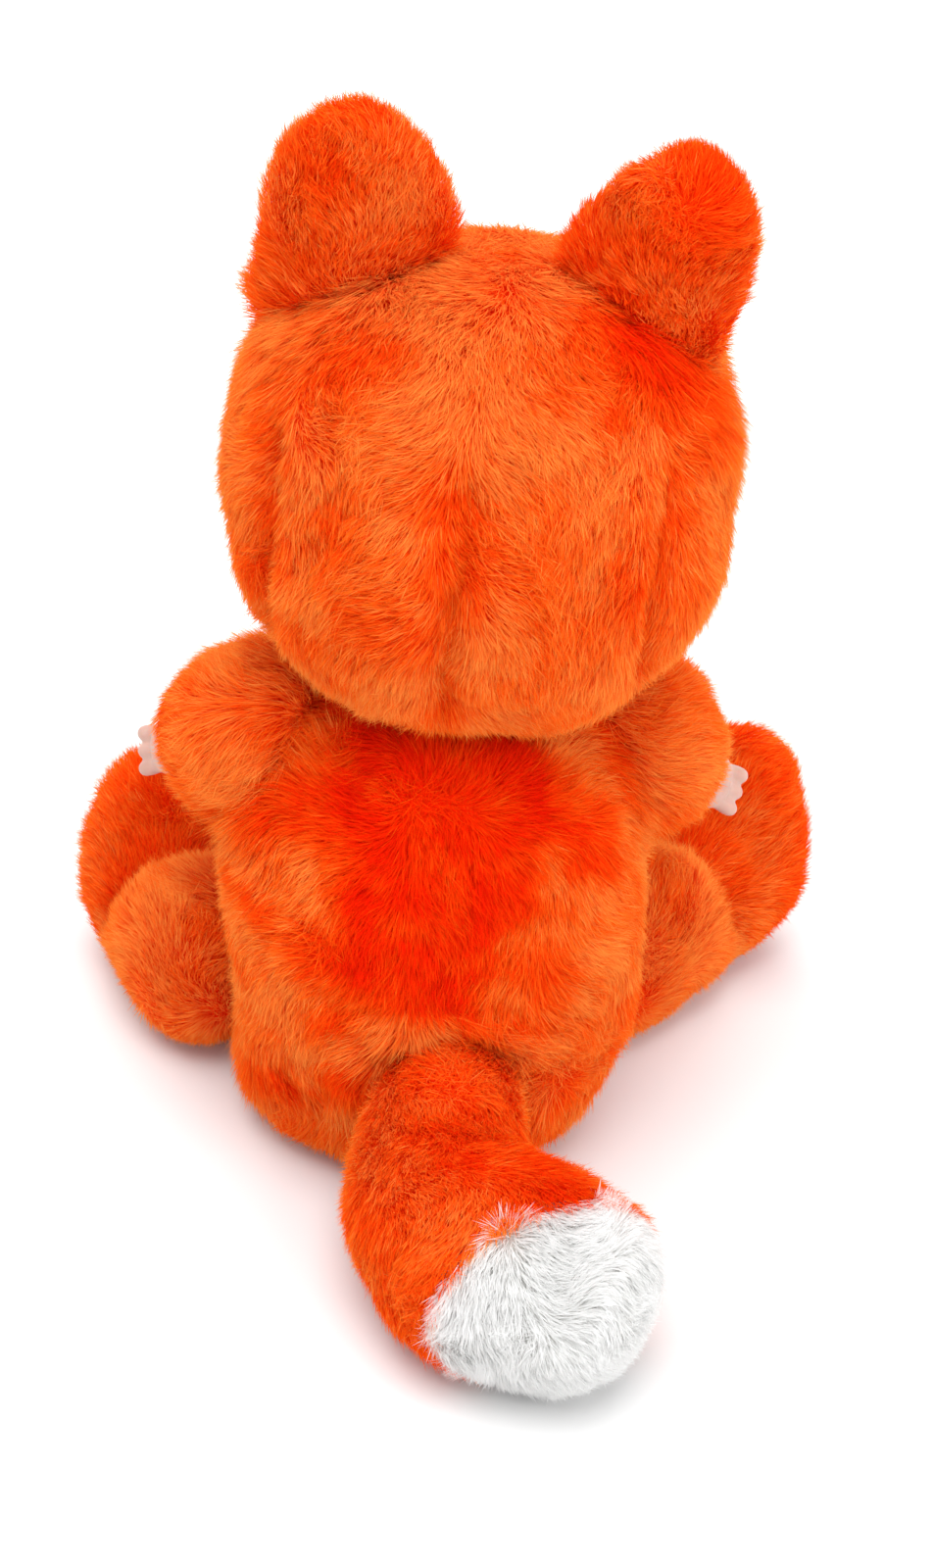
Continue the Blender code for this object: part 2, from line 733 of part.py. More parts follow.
def make_muzzle(head, form):
    skin = muzzle_form("muzzle_skin", head, surface=cream_plush())
    cut(skin, grown(form, "muzzle_back", head, GAP))
    core = muzzle_form("muzzle_core", head, -MUZZLE_WALL)
    cut(skin, core)
    filling = muzzle_form("muzzle_stuffing", head, -MUZZLE_WALL - FILL_GAP, fibre_fill())
    cut(filling, grown(form, "muzzle_bed", head, GAP))

    size = (MUZZLE_HALF_WIDTH, MUZZLE_HALF_DEPTH, MUZZLE_HALF_HEIGHT)
    ahead = egg_front(*size, HEAD_POWERS, 0.0, NOSE_LIFT)
    out = Vector((0, -ahead, NOSE_LIFT))
    place = head_centre() + face_place(0.0, -MUZZLE_LOW) + out
    frame = axis_frame(place, out.normalized())
    nose = egg((0, 0, 0), NOSE_HALF_WIDTH, NOSE_HALF_HEIGHT, NOSE_HALF_DEPTH, NOSE_HALF_DEPTH,
               HEAD_POWERS, NOSE_ROWS, TURNED_SIDES)
    nose.transform(frame)
    nose = add("nose", nose, head, black_plastic())
    outer = muzzle_form("muzzle_form", head)
    cut(nose, grown(outer, "nose_seat", head, GAP))
    shank = (SHANK_RADIUS, -SHANK_LENGTH, NOSE_HALF_DEPTH / 2)
    join(nose, rod("nose_shank", head, frame, *shank, sides=SMALL_SIDES))
    face_washer("nose_washer", head, skin, frame, MUZZLE_WALL, filling)


def ear_point(lean, side, share, across, thick):
    """A point of an ear: share of its height, then across it and through it, cupped forward."""
    half_width = EAR_HALF_WIDTH
    forward = EAR_CUP * (across / half_width) ** 2
    height = EAR_HEIGHT * share
    x = EAR_OUT + across * math.cos(lean) + height * math.sin(lean)
    z = EAR_UP - across * math.sin(lean) + height * math.cos(lean)
    return head_centre() + Vector((side * x, thick - forward, z))


def ear_form(name, body, lean, side, surface=None):
    root_share = -EAR_ROOT / EAR_HEIGHT
    rings = [[ear_point(lean, side, root_share, 0.0, 0.0)]]
    for k in range(EAR_ROWS + 1):
        share = root_share + (1 - root_share) * k / EAR_ROWS
        half = EAR_HALF_WIDTH * between(EAR_WIDTH_SHARES, max(share, 0.0))[0]
        thick = EAR_HALF_THICKNESS * between(EAR_THICKNESS_SHARES, max(share, 0.0))[0]
        shape = loop_shape(half, thick, EAR_ROUNDNESS, TURNED_SIDES)
        rings.append([ear_point(lean, side, share, a, b) for a, b in shape])
    top_share = 1 + EAR_HALF_THICKNESS / EAR_HEIGHT / 2
    rings.append([ear_point(lean, side, top_share, 0.0, 0.0)])
    return add(name, loft(rings), body, surface)


def make_ears(head, form):
    bed = grown(form, "ear_bed", head, GAP)
    for name, side in SIDES.items():
        lean = EAR_LEANS[name]
        source = ear_form(f"ear_form_{name}", head, lean, side)
        ear = ear_form(f"ear_{name}", head, lean, side, orange_plush())
        cut(ear, bed)
        middle = ear_point(lean, side, EAR_LINING_PLACE_SHARE, 0.0, 0.0)
        up = Vector((side * math.sin(lean), 0, math.cos(lean)))
        frame = Matrix.Translation(middle) @ ahead_frame(up)
        size = (EAR_HALF_WIDTH * EAR_LINING_WIDTH_SHARE, EAR_HEIGHT * EAR_LINING_HEIGHT_SHARE)
        post = (frame, *size, 0.0, HEAD_HALF_DEPTH)
        inner = panel(f"ear_inner_{name}", ear, source, head, cream_plush(), post)
        cut(inner, bed)


def ahead_frame(up):
    """A turn whose Z is straight ahead and whose Y is the given way up."""
    out = Vector((0, -1, 0))
    across = up.cross(out)
    return Matrix((across, up, out)).transposed().to_4x4()


def make_head(head, joint):
    form = head_form("head_form", head)
    skin = head_form("head_skin", head, surface=orange_plush())
    cut(skin, joint.limb_flat("skin"))
    cut(skin, head_form("head_core", head, -WALL, HEAD_CORE_ROWS, HEAD_CORE_SIDES))
    joint.open_limb(skin)
    inner = (-WALL - FILL_GAP, HEAD_CORE_ROWS, HEAD_CORE_SIDES)
    filling = head_form("head_stuffing", head, *inner, fibre_fill())
    joint.clear_limb(filling)
    for name, side in SIDES.items():
        place = Vector((side * CHEEK_OUT, 0, -CHEEK_LOW)) + head_centre()
        frame = axis_frame(place, (0, -1, 0))
        post = (frame, CHEEK_HALF_WIDTH, CHEEK_HALF_HEIGHT, HEAD_HALF_DEPTH / 4, REACH)
        panel(f"cheek_{name}", skin, form, head, cream_plush(), post)
    make_eyes(head, skin, form, filling)
    make_muzzle(head, form)
    make_ears(head, form)


# Arms and hands


def arm_line(side, share):
    """A place on the arm's middle line, measured from the shoulder."""
    count = len(ARM_LINE_SHARES) - 1
    rows = [(k / count, *point) for k, point in enumerate(ARM_LINE_SHARES)]
    across, back, up = ARM_REACH * between(rows, share)
    swing = ARM_SWINGS["left" if side > 0 else "right"]
    return Matrix.Rotation(swing, 3, shoulder_axis(side) * side) @ Vector((side * across, back, up))


def arm_form(name, arm, side, offset=0.0, rows=ARM_ROWS, sides=FORM_SIDES - 4, surface=None):
    places = []
    sizes = []
    for k in range(rows + 1):
        share = k / rows
        places.append(arm_line(side, share))
        radius = ARM_RADIUS * between(ARM_SHARES, share)[0] + offset
        sizes.append((radius, radius))
    caps = (ARM_CAP + offset, CUFF_CAP + offset)
    return add(name, sweep(places, sizes, *caps, sides=sides), arm, surface)


def hand_frame(side):
    way = (arm_line(side, 1.0) - arm_line(side, ARM_END_SHARE)).normalized()
    across = way.cross(Vector((0, 0, 1))).normalized() * side
    wide = (across * math.cos(HAND_ROLL) + way.cross(across) * side * math.sin(HAND_ROLL)).normalized()
    thick = way.cross(wide)
    cuff = arm_line(side, 1.0) + way * CUFF_CAP
    frame = Matrix((wide, thick, way)).transposed().to_4x4()
    return Matrix.Translation(cuff) @ frame


def finger(name, arm, frame, start, angle, length, lean=0.0):
    way = Vector((math.sin(angle) * math.cos(lean), -math.sin(lean), math.cos(angle) * math.cos(lean)))
    places = [start + way * length * along for along, _ in FINGER_SHARES]
    sizes = [(FINGER_RADIUS * wide,) * 2 for _, wide in FINGER_SHARES]
    bm = sweep(places, sizes, FINGER_RADIUS, FINGER_RADIUS, sides=SMALL_SIDES, up=(0, 1, 0))
    bm.transform(frame)
    return add(name, bm, arm)


def palm_form(name, arm, frame, offset=0.0):
    length = PALM_HALF_LENGTH + offset
    size = (PALM_HALF_WIDTH + offset, PALM_HALF_THICKNESS + offset, length, length)
    palm = egg((0, 0, PALM_PROUD), *size, HEAD_POWERS, PALM_ROWS, TURNED_SIDES)
    palm.transform(frame)
    return add(name, palm, arm)


def make_hand(name, side, arm):
    frame = hand_frame(side)
    groove = WRIST_RADIUS - WRIST_GROOVE
    tie_high = -WALL - TIE_SETBACK
    tie_low = tie_high - TIE_WIDTH
    level = tie_low - WRIST_PAST
    outline = ((0.0, level), (WRIST_RADIUS, level), (WRIST_RADIUS, tie_low - GAP))
    outline += ((groove, tie_low - GAP), (groove, tie_high + GAP), (WRIST_RADIUS, tie_high + GAP))
    outline += ((WRIST_RADIUS, PALM_PROUD), (0.0, PALM_PROUD))
    hand = add(f"hand_{name}", turned(frame, outline, TURNED_SIDES), arm, vinyl())
    join(hand, palm_form(f"palm_{name}", arm, frame))
    knuckles = PALM_PROUD + PALM_HALF_LENGTH * FINGER_START_SHARE
    for k in (-1, 0, 1):
        start = Vector((k * PALM_HALF_WIDTH * FINGER_SPACING_SHARE, 0, knuckles))
        shape = finger(f"finger_{name}_{k + 1}", arm, frame, start, k * FINGER_FAN, FINGER_LENGTH)
        join(hand, shape)
    start = Vector((PALM_HALF_WIDTH / 2, 0, PALM_PROUD))
    length = FINGER_LENGTH * THUMB_SHARE
    thumb = finger(f"thumb_{name}", arm, frame, start, THUMB_OUT, length, THUMB_LEAN * side)
    join(hand, thumb)
    ring = (groove + GAP, groove + GAP + TIE_THICKNESS, tie_low, tie_high)
    washer(f"cuff_tie_{name}", arm, frame, *ring, white_plastic())
    return frame, ring[1] + GAP, level - GAP


def make_arm(name, side, joint):
    arm = joint.limb
    frame, room, low = make_hand(name, side, arm)
    skin = arm_form(f"arm_skin_{name}", arm, side, surface=orange_plush())
    core = arm_form(f"arm_core_{name}", arm, side, -WALL, ARM_CORE_ROWS, CORE_SIDES)
    cut(core, joint.limb_flat("core", JOINT_WALL))
    cut(skin, joint.limb_flat("skin"), core)
    joint.open_limb(skin)
    bore = rod(f"cuff_bore_{name}", arm, frame, WRIST_RADIUS + GAP, low, OVERRUN)
    cut(skin, bore)
    cut(skin, palm_form(f"palm_room_{name}", arm, frame, GAP))
    inner = (arm, side, -WALL - FILL_GAP, ARM_CORE_ROWS, CORE_SIDES)
    filling = arm_form(f"arm_stuffing_{name}", *inner, fibre_fill())
    cut(filling, rod(f"wrist_space_{name}", arm, frame, room, low, OVERRUN))
    joint.clear_limb(filling)


# Legs


def leg_places(name, side):
    """The middle line of a leg and its half widths and half heights, from the thigh to the foot."""
    yaw = LEG_YAWS[name]
    reach = LEG_REACHES[name]
    way = Vector((side * math.sin(yaw), -math.cos(yaw), 0))
    start = Vector((side * THIGH_OUT, THIGH_Y, 0))
    places = []
    sizes = []
    for along, wide, low, high in LEG_SHARES:
        bottom = FOOT_HEIGHT * low - FLOOR_CUT
        top = FOOT_HEIGHT * high
        middle = start + way * reach * along
        middle.z = (bottom + top) / 2
        places.append(middle)
        sizes.append((LEG_HALF_WIDTH * wide, (top - bottom) / 2))
    return places, sizes, way


def leg_form(label, leg, name, side, offset=0.0, sides=FORM_SIDES, surface=None):
    places, sizes, way = leg_places(name, side)
    first = THIGH_BACK + offset
    last = SOLE_BULGE + offset
    rings = [[places[0] - way * first]]
    across = Vector((-way.y, way.x, 0))

    def ring(place, half_width, half_height):
        shape = loop_shape(half_width + offset, half_height + offset, LEG_ROUNDNESS, sides)
        return [place + across * a + Vector((0, 0, b)) for a, b in shape]

    for share in HEEL_SHARES:
        ahead = first * (1 - share**2) ** (1 / 2)
        size = (sizes[0][0] * share, sizes[0][1] * share)
        rings.append(ring(places[0] - way * ahead, *size))
    for place, size in zip(places, sizes):
        rings.append(ring(place, *size))
    for share in SOLE_SHARES:
        ahead = last * (1 - share**2) ** (1 / 2)
        size = (sizes[-1][0] * share, sizes[-1][1] * share)
        rings.append(ring(places[-1] + way * ahead, *size))
    rings.append([places[-1] + way * last])
    bm = loft(rings)
    bm.transform(Matrix.Translation(-leg.location))
    return add(label, bm, leg, surface)


def make_leg(name, side, joint):
    leg = joint.limb
    form = leg_form(f"leg_form_{name}", leg, name, side)
    skin = leg_form(f"leg_skin_{name}", leg, name, side, surface=orange_plush())
    core = leg_form(f"leg_core_{name}", leg, name, side, -WALL, CORE_SIDES)
    cut(core, joint.limb_flat("core", JOINT_WALL))
    cut(skin, joint.limb_flat("skin"), floor_block(f"leg_floor_{name}", leg), core)
    joint.open_limb(skin)
    places, _, way = leg_places(name, side)
    frame = Matrix.Translation(places[-1] - leg.location) @ upright_frame(way)
    post = (frame, SOLE_HALF_WIDTH, SOLE_HALF_HEIGHT, -SOLE_BULGE / 2, REACH)
    panel(f"sole_pad_{name}", skin, form, leg, cream_plush(), post)
    filling = leg_form(f"leg_stuffing_{name}", leg, name, side, -WALL - FILL_GAP, CORE_SIDES, fibre_fill())
    joint.clear_limb(filling)


def upright_frame(way):
    """A turn whose Z is the given level way and whose Y is straight up."""
    up = Vector((0, 0, 1))
    across = up.cross(way).normalized()
    return Matrix((across, up, way)).transposed().to_4x4()


# Tail


def tail_line(share):
    """A place on the tail's middle line, from its ball end."""
    count = len(TAIL_LINE_SHARES) - 1
    rows = [(k / count, *point) for k, point in enumerate(TAIL_LINE_SHARES)]
    back, across = TAIL_REACH * between(rows, share)
    lying = tail_radius(share) - FLOOR_CUT
    sunk = min(share / TAIL_LYING_SHARE, 1.0)
    rise = (1 - sunk) ** 2 * (1 + 2 * sunk)
    above = TAIL_Z - (tail_radius(0.0) - FLOOR_CUT)
    return Vector((across, back, lying + above * rise - TAIL_Z))


def tail_radius(share):
    return TAIL_RADIUS * between(TAIL_SHARES, share)[0]


def tail_form(name, tail, offset=0.0, rows=TAIL_ROWS, sides=FORM_SIDES, surface=None):
    places = [tail_line(k / rows) for k in range(rows + 1)]
    sizes = []
    for k in range(rows + 1):
        radius = tail_radius(k / rows) + offset
        sizes.append((radius, radius))
    caps = (TAIL_BALL + offset, TAIL_CAP + offset)
    return add(name, sweep(places, sizes, *caps, sides=sides, caps=TAIL_CAP_ROWS), tail, surface)


def make_tail(tail):
    start = tail_line(TAIL_TIP_SHARE)
    seam = axis_frame(start, (-math.sin(TAIL_TIP_YAW), math.cos(TAIL_TIP_YAW), 0))
    beyond = block_beyond("tail_beyond", tail, seam)
    before = block_beyond("tail_before", tail, seam @ Matrix.Rotation(math.pi, 4, "X"), -GAP)
    core = tail_form("tail_core", tail, -WALL, TAIL_CORE_ROWS, CORE_SIDES)
    floor = floor_block("tail_floor", tail)
    skin = tail_form("tail_skin", tail, surface=orange_plush())
    cut(skin, floor, core, beyond)
    tip = tail_form("tail_tip", tail, surface=white_plush())
    cut(tip, floor, core, before)
    inner = (tail, -WALL - FILL_GAP, TAIL_CORE_ROWS, CORE_SIDES)
    tail_form("tail_stuffing", *inner, fibre_fill())


def main():
    clear_scene()
    torso = pivot("torso_pivot", (0, 0, 0))
    tail = pivot("tail_pivot", (0, TAIL_Y, TAIL_Z))
    joints = make_joints(torso)
    make_torso(torso, joints)
    make_head(joints["neck"].limb, joints["neck"])
    for name, side in SIDES.items():
        make_arm(name, side, joints[f"shoulder_{name}"])
        make_leg(name, side, joints[f"hip_{name}"])
    make_tail(tail)
    bpy.context.view_layer.update()


main()
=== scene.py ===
import json
import math

import bmesh
import bpy
import numpy as np
from mathutils import Matrix, Vector
from mathutils.bvhtree import BVHTree


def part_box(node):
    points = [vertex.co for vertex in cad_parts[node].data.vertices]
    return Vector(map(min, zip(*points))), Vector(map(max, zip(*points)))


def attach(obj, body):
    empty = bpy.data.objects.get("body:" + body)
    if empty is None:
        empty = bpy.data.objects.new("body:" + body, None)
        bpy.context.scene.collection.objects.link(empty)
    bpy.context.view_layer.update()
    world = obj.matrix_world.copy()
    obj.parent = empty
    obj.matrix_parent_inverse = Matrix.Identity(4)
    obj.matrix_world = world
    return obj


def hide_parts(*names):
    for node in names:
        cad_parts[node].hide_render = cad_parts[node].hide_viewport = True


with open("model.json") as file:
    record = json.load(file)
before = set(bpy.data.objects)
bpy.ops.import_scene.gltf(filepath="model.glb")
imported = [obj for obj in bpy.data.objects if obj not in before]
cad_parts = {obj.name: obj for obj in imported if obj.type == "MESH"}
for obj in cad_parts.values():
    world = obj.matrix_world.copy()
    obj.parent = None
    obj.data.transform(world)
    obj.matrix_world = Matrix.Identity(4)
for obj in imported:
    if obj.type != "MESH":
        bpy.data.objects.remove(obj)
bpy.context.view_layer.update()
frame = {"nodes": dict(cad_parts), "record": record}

NODES = frame["nodes"]
SIDES = {"left": 1.0, "right": -1.0}
UP = Vector((0, 0, 1))
ACROSS = Vector((1, 0, 0))
DOWN = (0, 0, -1)
AHEAD = Matrix.Rotation(math.radians(90), 4, "X")  # turns a panel's own Z to the front
ORANGE, WHITE, CREAM, BLACK = "orange_plush", "white_plush", "cream_plush", "black_plastic"

# Camera, from behind and above; sizes are metres, angles degrees and picture sizes pixels
CAMERA_AZIMUTH = 170
CAMERA_ELEVATION = 35
CAMERA_ROLL = 6.2
CAMERA_DISTANCE = 0.720
CAMERA_TARGET = Vector((0, 0, 0.075))
CAMERA_ASIDE = 0.00318  # how far the eye stands to the right of its target
FOCAL_PIXELS = 3740
PHOTO_HEIGHT = 1600
SENSOR = 36  # millimetres

# Stage
FLOOR_HALF = 20.0
WORLD_STRENGTH = 0.88
SUN_WIDTH = 50
SUN_STRENGTH = 2.2
SUN_PLACE = Vector((0.25, 0.20, 1.55))
LAMPS = {"fill": ((-0.8, 0.9, 0.7), 1.2, 6.0), "front": ((0.2, -1.1, 0.8), 1.0, 4.0)}  # place, size, watts

# Places and ways that the CAD gives; those of a left piece are mirrored for the right one
NECK = Vector((0, -0.0040, 0.0940))
HEAD_TURN = math.radians(-13)
HEAD_CENTRE = Vector((-0.00135, -0.00985, 0.1383))
EYE_RADIUS = 0.0046
EYE_WAYS = {"left": (0.17196, -0.98110, 0.08874), "right": (-0.58464, -0.80642, 0.08874)}
SHOULDER = (0.0306, -0.0100, 0.0790)
SHOULDER_WAY = (0.88242, -0.23644, 0.40674)
HIP_X = 0.0372
THIGH = (0.0462, -0.0210, 0)
LEG_YAWS = {"left": math.radians(15), "right": math.radians(41)}
KNEES = {"left": 0.0135, "right": 0.0200}  # how far each knee's crease is ahead of the thigh
TAIL_BALL = Vector((0, 0.0345, 0.0270))
TAIL_SEAM = Vector((-0.01350, 0.08210, 0.01921))
TAIL_SEAM_WAY = Vector((-0.34202, 0.93969, 0))

# Seams, and how the neck's joint clamps the cloth
BODY_SEAM_Y = -0.004  # where the body's side seams run
SIDE_SEAM = 0.0265  # how far each side seam of the head is from its middle
SIDE_SEAM_SLANT = 0.28  # of the side seams, forward for each step outward
SEAM_WIDTH = 0.0062
GROOVE = 0.0014  # how much deeper the thread pulls the cloth at a seam
NECK_FLAT = 0.0124  # the cloth lies flat, without pile, this near the neck's axis, over the joint's discs
NECK_FADE = 0.0060
TORSO_UNDER_NECK = 0.0001  # where the two flats lie, from the neck's middle
HEAD_OVER_NECK = 0.0004
STITCH_RADIUS = 0.00045
STITCH_PROUD = 0.0026  # how far the mouth's thread stands out of the muzzle's cloth, in its pile

# Cloth of each soft form: voxel, rounds of smoothing, how far it lies inside the CAD solid, under the pile,
# and its puff: how far the filling may swell it between its seams
FORMS = {
    "torso": (0.0030, 8, 0.0031, 0.0028),
    "head": (0.0030, 8, 0.0031, 0.0026),
    "muzzle": (0.0016, 6, 0.0006, 0.0006),
    "ear": (0.0016, 6, 0.0012, 0.0008),
    "arm": (0.0024, 6, 0.0024, 0.0012),
    "leg": (0.0026, 7, 0.0016, 0.0016),
    "tail": (0.0026, 26, 0.0012, 0.0014),
}
FLOOR_CLEAR = 0.0003
LEAST_SWELL = 0.8  # of the puff, where the simulation swells a panel least
LUMPS = 0.0007  # how far the filling's lumps push the cloth in and out
LUMP_SIZE = 0.014
CLOTH_FRAMES = 20
CLOTH_PRESSURE = 4.0

# What the photo shows and the CAD's plain forms lack
LEG_CHANGES = {"left": (0.0022, 0, 0), "right": (0.0036, 0.0018, 0.0042)}  # slimmer, longer, higher foot
TEMPLE = Vector((0.0460, -0.0258, 0.1490))  # where the head is fuller, under the left ear
TEMPLE_SWELL = 0.0022
TEMPLE_REACH = 0.014
MUZZLE_TAPER = 0.26  # how much slimmer the muzzle is at its nose
EAR_LEAN = 0.0010  # of the left ear
EAR_SLIMMER = 0.0034  # the right ear, on each side
FLANK = 0.0042  # how far the body's left flank bulges
SEAT_IN = 0.0036  # how much slimmer the body is low on its right
TIP_SHORTER = 0.0016  # the white cloth ends this far inside its CAD solid

# Pile
LENGTHS = {
    "torso": 0.0055, "belly": 0.0056, "head": 0.0055, "cheek": 0.0066, "muzzle": 0.0042, "ear": 0.0047,
    "lining": 0.0050, "arm": 0.0048, "leg": 0.0050, "sole": 0.0044, "tail": 0.0046, "tip": 0.0044,
}
LONGER = 1.08  # all the lengths are multiplied by this
STRAND_WIDTH = 0.00021
DENSITY = 1.15e7  # strands in a square metre
STRAYS = 0.10  # the share of strands that stand out of the pile
LOCK_SIZE = 0.0022
TUFT_SIZE = 0.0070
COLUMNS = 64  # shades of pile in one piece
THROUGH = 0.56  # the share of light that passes through a strand
SOCKET = 0.0130  # no pile grows on the body this near the tail's ball
BACK_WHORL = np.array((0.0035, 0.030, 0.074))  # the pile is combed away from these
HEAD_WHORL = np.array((0.0072, 0.0187, 0.1733))
LEG_WHORL = (0.0462, -0.0150, 0.012)
PANEL_HALF = 0.031  # half the width of the head's middle pieces of pile
FACE_EDGE = -0.012  # where the face's pile starts, ahead of the head's centre
# Painted shade in the head's pile, deeper red where shadow falls, most near the ears' roots: place, amount
# and reach
PAINTED_SHADE = (
    ((-0.0260, 0.0060, 0.1740), 0.60, 0.013),
    ((-0.0215, 0.0010, 0.1790), 0.45, 0.008),
    ((0.0260, 0.0000, 0.1730), 0.30, 0.009),
    ((0.0240, 0.0300, 0.1300), 0.22, 0.009),
    ((-0.0040, 0.0300, 0.1400), 0.08, 0.010),
)


# Helpers


def head_matrix():
    return Matrix.Translation(NECK) @ Matrix.Rotation(HEAD_TURN, 4, "Z")


def on_side(place, side):
    """A place or way of a left piece, for this side."""
    return np.array((side * place[0], *place[1:]))


def corners_of(node):
    """The lowest and the highest corner of a CAD node's box."""
    return [np.array(corner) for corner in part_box(node)]


def middle_of(node):
    """The middle of a CAD node's box."""
    low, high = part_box(node)
    return (Vector(low) + Vector(high)) / 2


def off_neck(points):
    """How far points are from the neck's axis."""
    return np.hypot(points[:, 0] - NECK.x, points[:, 1] - NECK.y)


def away(points, place):
    """How far points are from a place."""
    return np.linalg.norm(points - np.array(place), axis=1)


def link(name, data):
    obj = bpy.data.objects.new(name, data)
    bpy.context.scene.collection.objects.link(obj)
    return obj


def evaluated(obj):
    return obj.evaluated_get(bpy.context.evaluated_depsgraph_get())


def tree_of(obj):
    return BVHTree.FromObject(obj, bpy.context.evaluated_depsgraph_get())


def link_mesh(name, bm):
    """An object with the mesh that was made in bm."""
    mesh = bpy.data.meshes.new(name)
    bm.to_mesh(mesh)
    bm.free()
    mesh.shade_smooth()
    return link(name, mesh)


def given(obj, material, body, nodes=()):
    """A piece with its material and body; the CAD nodes that it stands for are hidden."""
    obj.data.materials.clear()
    obj.data.materials.append(material)
    if nodes:
        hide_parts(*nodes)
    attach(obj, body)
    return obj


def arrays(mesh):
    """The corners and the triangles of a mesh."""
    points = np.zeros(len(mesh.vertices) * 3, np.float32)
    mesh.vertices.foreach_get("co", points)
    mesh.calc_loop_triangles()
    faces = np.zeros(len(mesh.loop_triangles) * 3, np.int32)
    mesh.loop_triangles.foreach_get("vertices", faces)
    return points.reshape(-1, 3).astype(float), faces.reshape(-1, 3)


def unit(vectors):
    length = np.linalg.norm(vectors, axis=1, keepdims=True)
    return vectors / np.maximum(length, 1e-12)


def grow(value, low, high):
    """0 below low and 1 above high, smooth between."""
    t = np.clip((value - low) / (high - low), 0, 1)
    return t * t * (3 - 2 * t)


def fade(value, low, high):
    """1 below low and 0 above high, smooth between."""
    return 1 - grow(value, low, high)


def waves(points, size, seed, count=10):
    """Smooth noise of about -1 to 1 at each point, whose bumps are about this size."""
    rng = np.random.default_rng(seed)
    ways = unit(rng.normal(size=(count, 3))) * rng.uniform(0.6, 1.4, (count, 1))
    phases = rng.uniform(0, 2 * math.pi, count)
    return np.sin(points @ ways.T * (math.pi / size) + phases).sum(1) / math.sqrt(count)


def swirls(points, size, seed):
    """A smooth vector at each point."""
    return np.stack([waves(points, size, seed + k) for k in range(3)], axis=1)


# Materials


class Look:
    """A node material in the making."""

    def __init__(self, name, roughness, **sockets):
        self.material = bpy.data.materials.new(name)
        self.material.use_nodes = True
        self.tree = self.material.node_tree
        self.shader = self.tree.nodes["Principled BSDF"]
        self.shader.inputs["Roughness"].default_value = roughness
        for socket, value in sockets.items():
            self.shader.inputs[socket.replace("_", " ")].default_value = value

    def node(self, kind, links=(), **values):
        node = self.tree.nodes.new("ShaderNode" + kind)
        for name, value in values.items():
            if hasattr(node, name):
                setattr(node, name, value)
            else:
                node.inputs[name.replace("_", " ")].default_value = value
        for source, target in links:
            self.tree.links.new(source, node.inputs[target])
        return node

    def ramp(self, source, stops):
        node = self.node("ValToRGB", [(source, "Fac")])
        elements = node.color_ramp.elements
        while len(elements) < len(stops):
            elements.new(0.5)
        for element, (place, colour) in zip(elements, stops):
            element.position = place
            element.color = (*colour, 1)
        return node.outputs["Color"]

    def place(self):
        return self.node("TexCoord").outputs["Object"]

    def noise(self, scale, detail):
        noise = self.node("TexNoise", [(self.place(), "Vector")], Scale=scale, Detail=detail)
        return noise.outputs["Fac"]

    def shades(self, source, dark, light, low=0.3, high=0.7):
        self.colour(self.ramp(source, ((low, dark), (high, light))))

    def colour(self, source):
        self.tree.links.new(source, self.shader.inputs["Base Color"])

    def bump(self, source, strength, distance):
        bump = self.node("Bump", [(source, "Height")], Strength=strength, Distance=distance)
        self.tree.links.new(bump.outputs["Normal"], self.shader.inputs["Normal"])


def pile_look(name, root, tips, sheen, tint):
    """Plush pile: each strand has its own shade across the map, and goes from root to tip along it."""
    look = Look(name, 0.80, Specular_IOR_Level=0.05, Sheen_Weight=sheen, Sheen_Roughness=0.5)
    look.shader.inputs["Sheen Tint"].default_value = (*tint, 1)
    uv = look.node("UVMap", uv_map="OFBake")
    split = look.node("SeparateXYZ", [(uv.outputs["UV"], "Vector")])
    shade = look.ramp(split.outputs["X"], tips)
    along = look.ramp(split.outputs["Y"], ((0.0, (0, 0, 0)), (0.75, (1, 1, 1))))
    mix = look.node("Mix", data_type="RGBA")
    look.tree.links.new(along, mix.inputs[0])
    mix.inputs[6].default_value = (*root, 1)
    look.tree.links.new(shade, mix.inputs[7])
    look.colour(mix.outputs[2])
    through = look.node("BsdfTranslucent", [(mix.outputs[2], "Color")])
    both = look.node("MixShader", [(look.shader.outputs["BSDF"], 1), (through.outputs["BSDF"], 2)])
    both.inputs["Fac"].default_value = THROUGH
    look.tree.links.new(both.outputs["Shader"], look.tree.nodes["Material Output"].inputs["Surface"])
    return look.material


def backing_look(name, dark, light):
    """The knitted backing that the pile stands on."""
    look = Look(name, 0.95, Specular_IOR_Level=0.1)
    rows = look.node("TexWave", [(look.place(), "Vector")], Scale=420.0, Distortion=2.0, Detail=2.0)
    cloud = look.noise(180.0, 4.0)
    mixed = look.node("Math", [(rows.outputs["Fac"], 0), (cloud, 1)], operation="MULTIPLY")
    look.shades(mixed.outputs["Value"], dark, light, 0.1, 0.6)
    look.bump(rows.outputs["Fac"], 0.5, 0.0003)
    return look.material


def mottled_look(name, light, dark, roughness, scale=260.0, bump=0.15,
                 distance=0.0001, detail=5.0, high=0.7, **sockets):
    look = Look(name, roughness, **sockets)
    cloud = look.noise(scale, detail)
    look.shades(cloud, dark, light, 0.3, high)
    look.bump(cloud, bump, distance)
    return look.material


def filling_look(name, light, dark, scale):
    return mottled_look(name, light, dark, 0.95, scale, 0.6, 0.0008, 6.0, 0.65, Specular_IOR_Level=0.1)


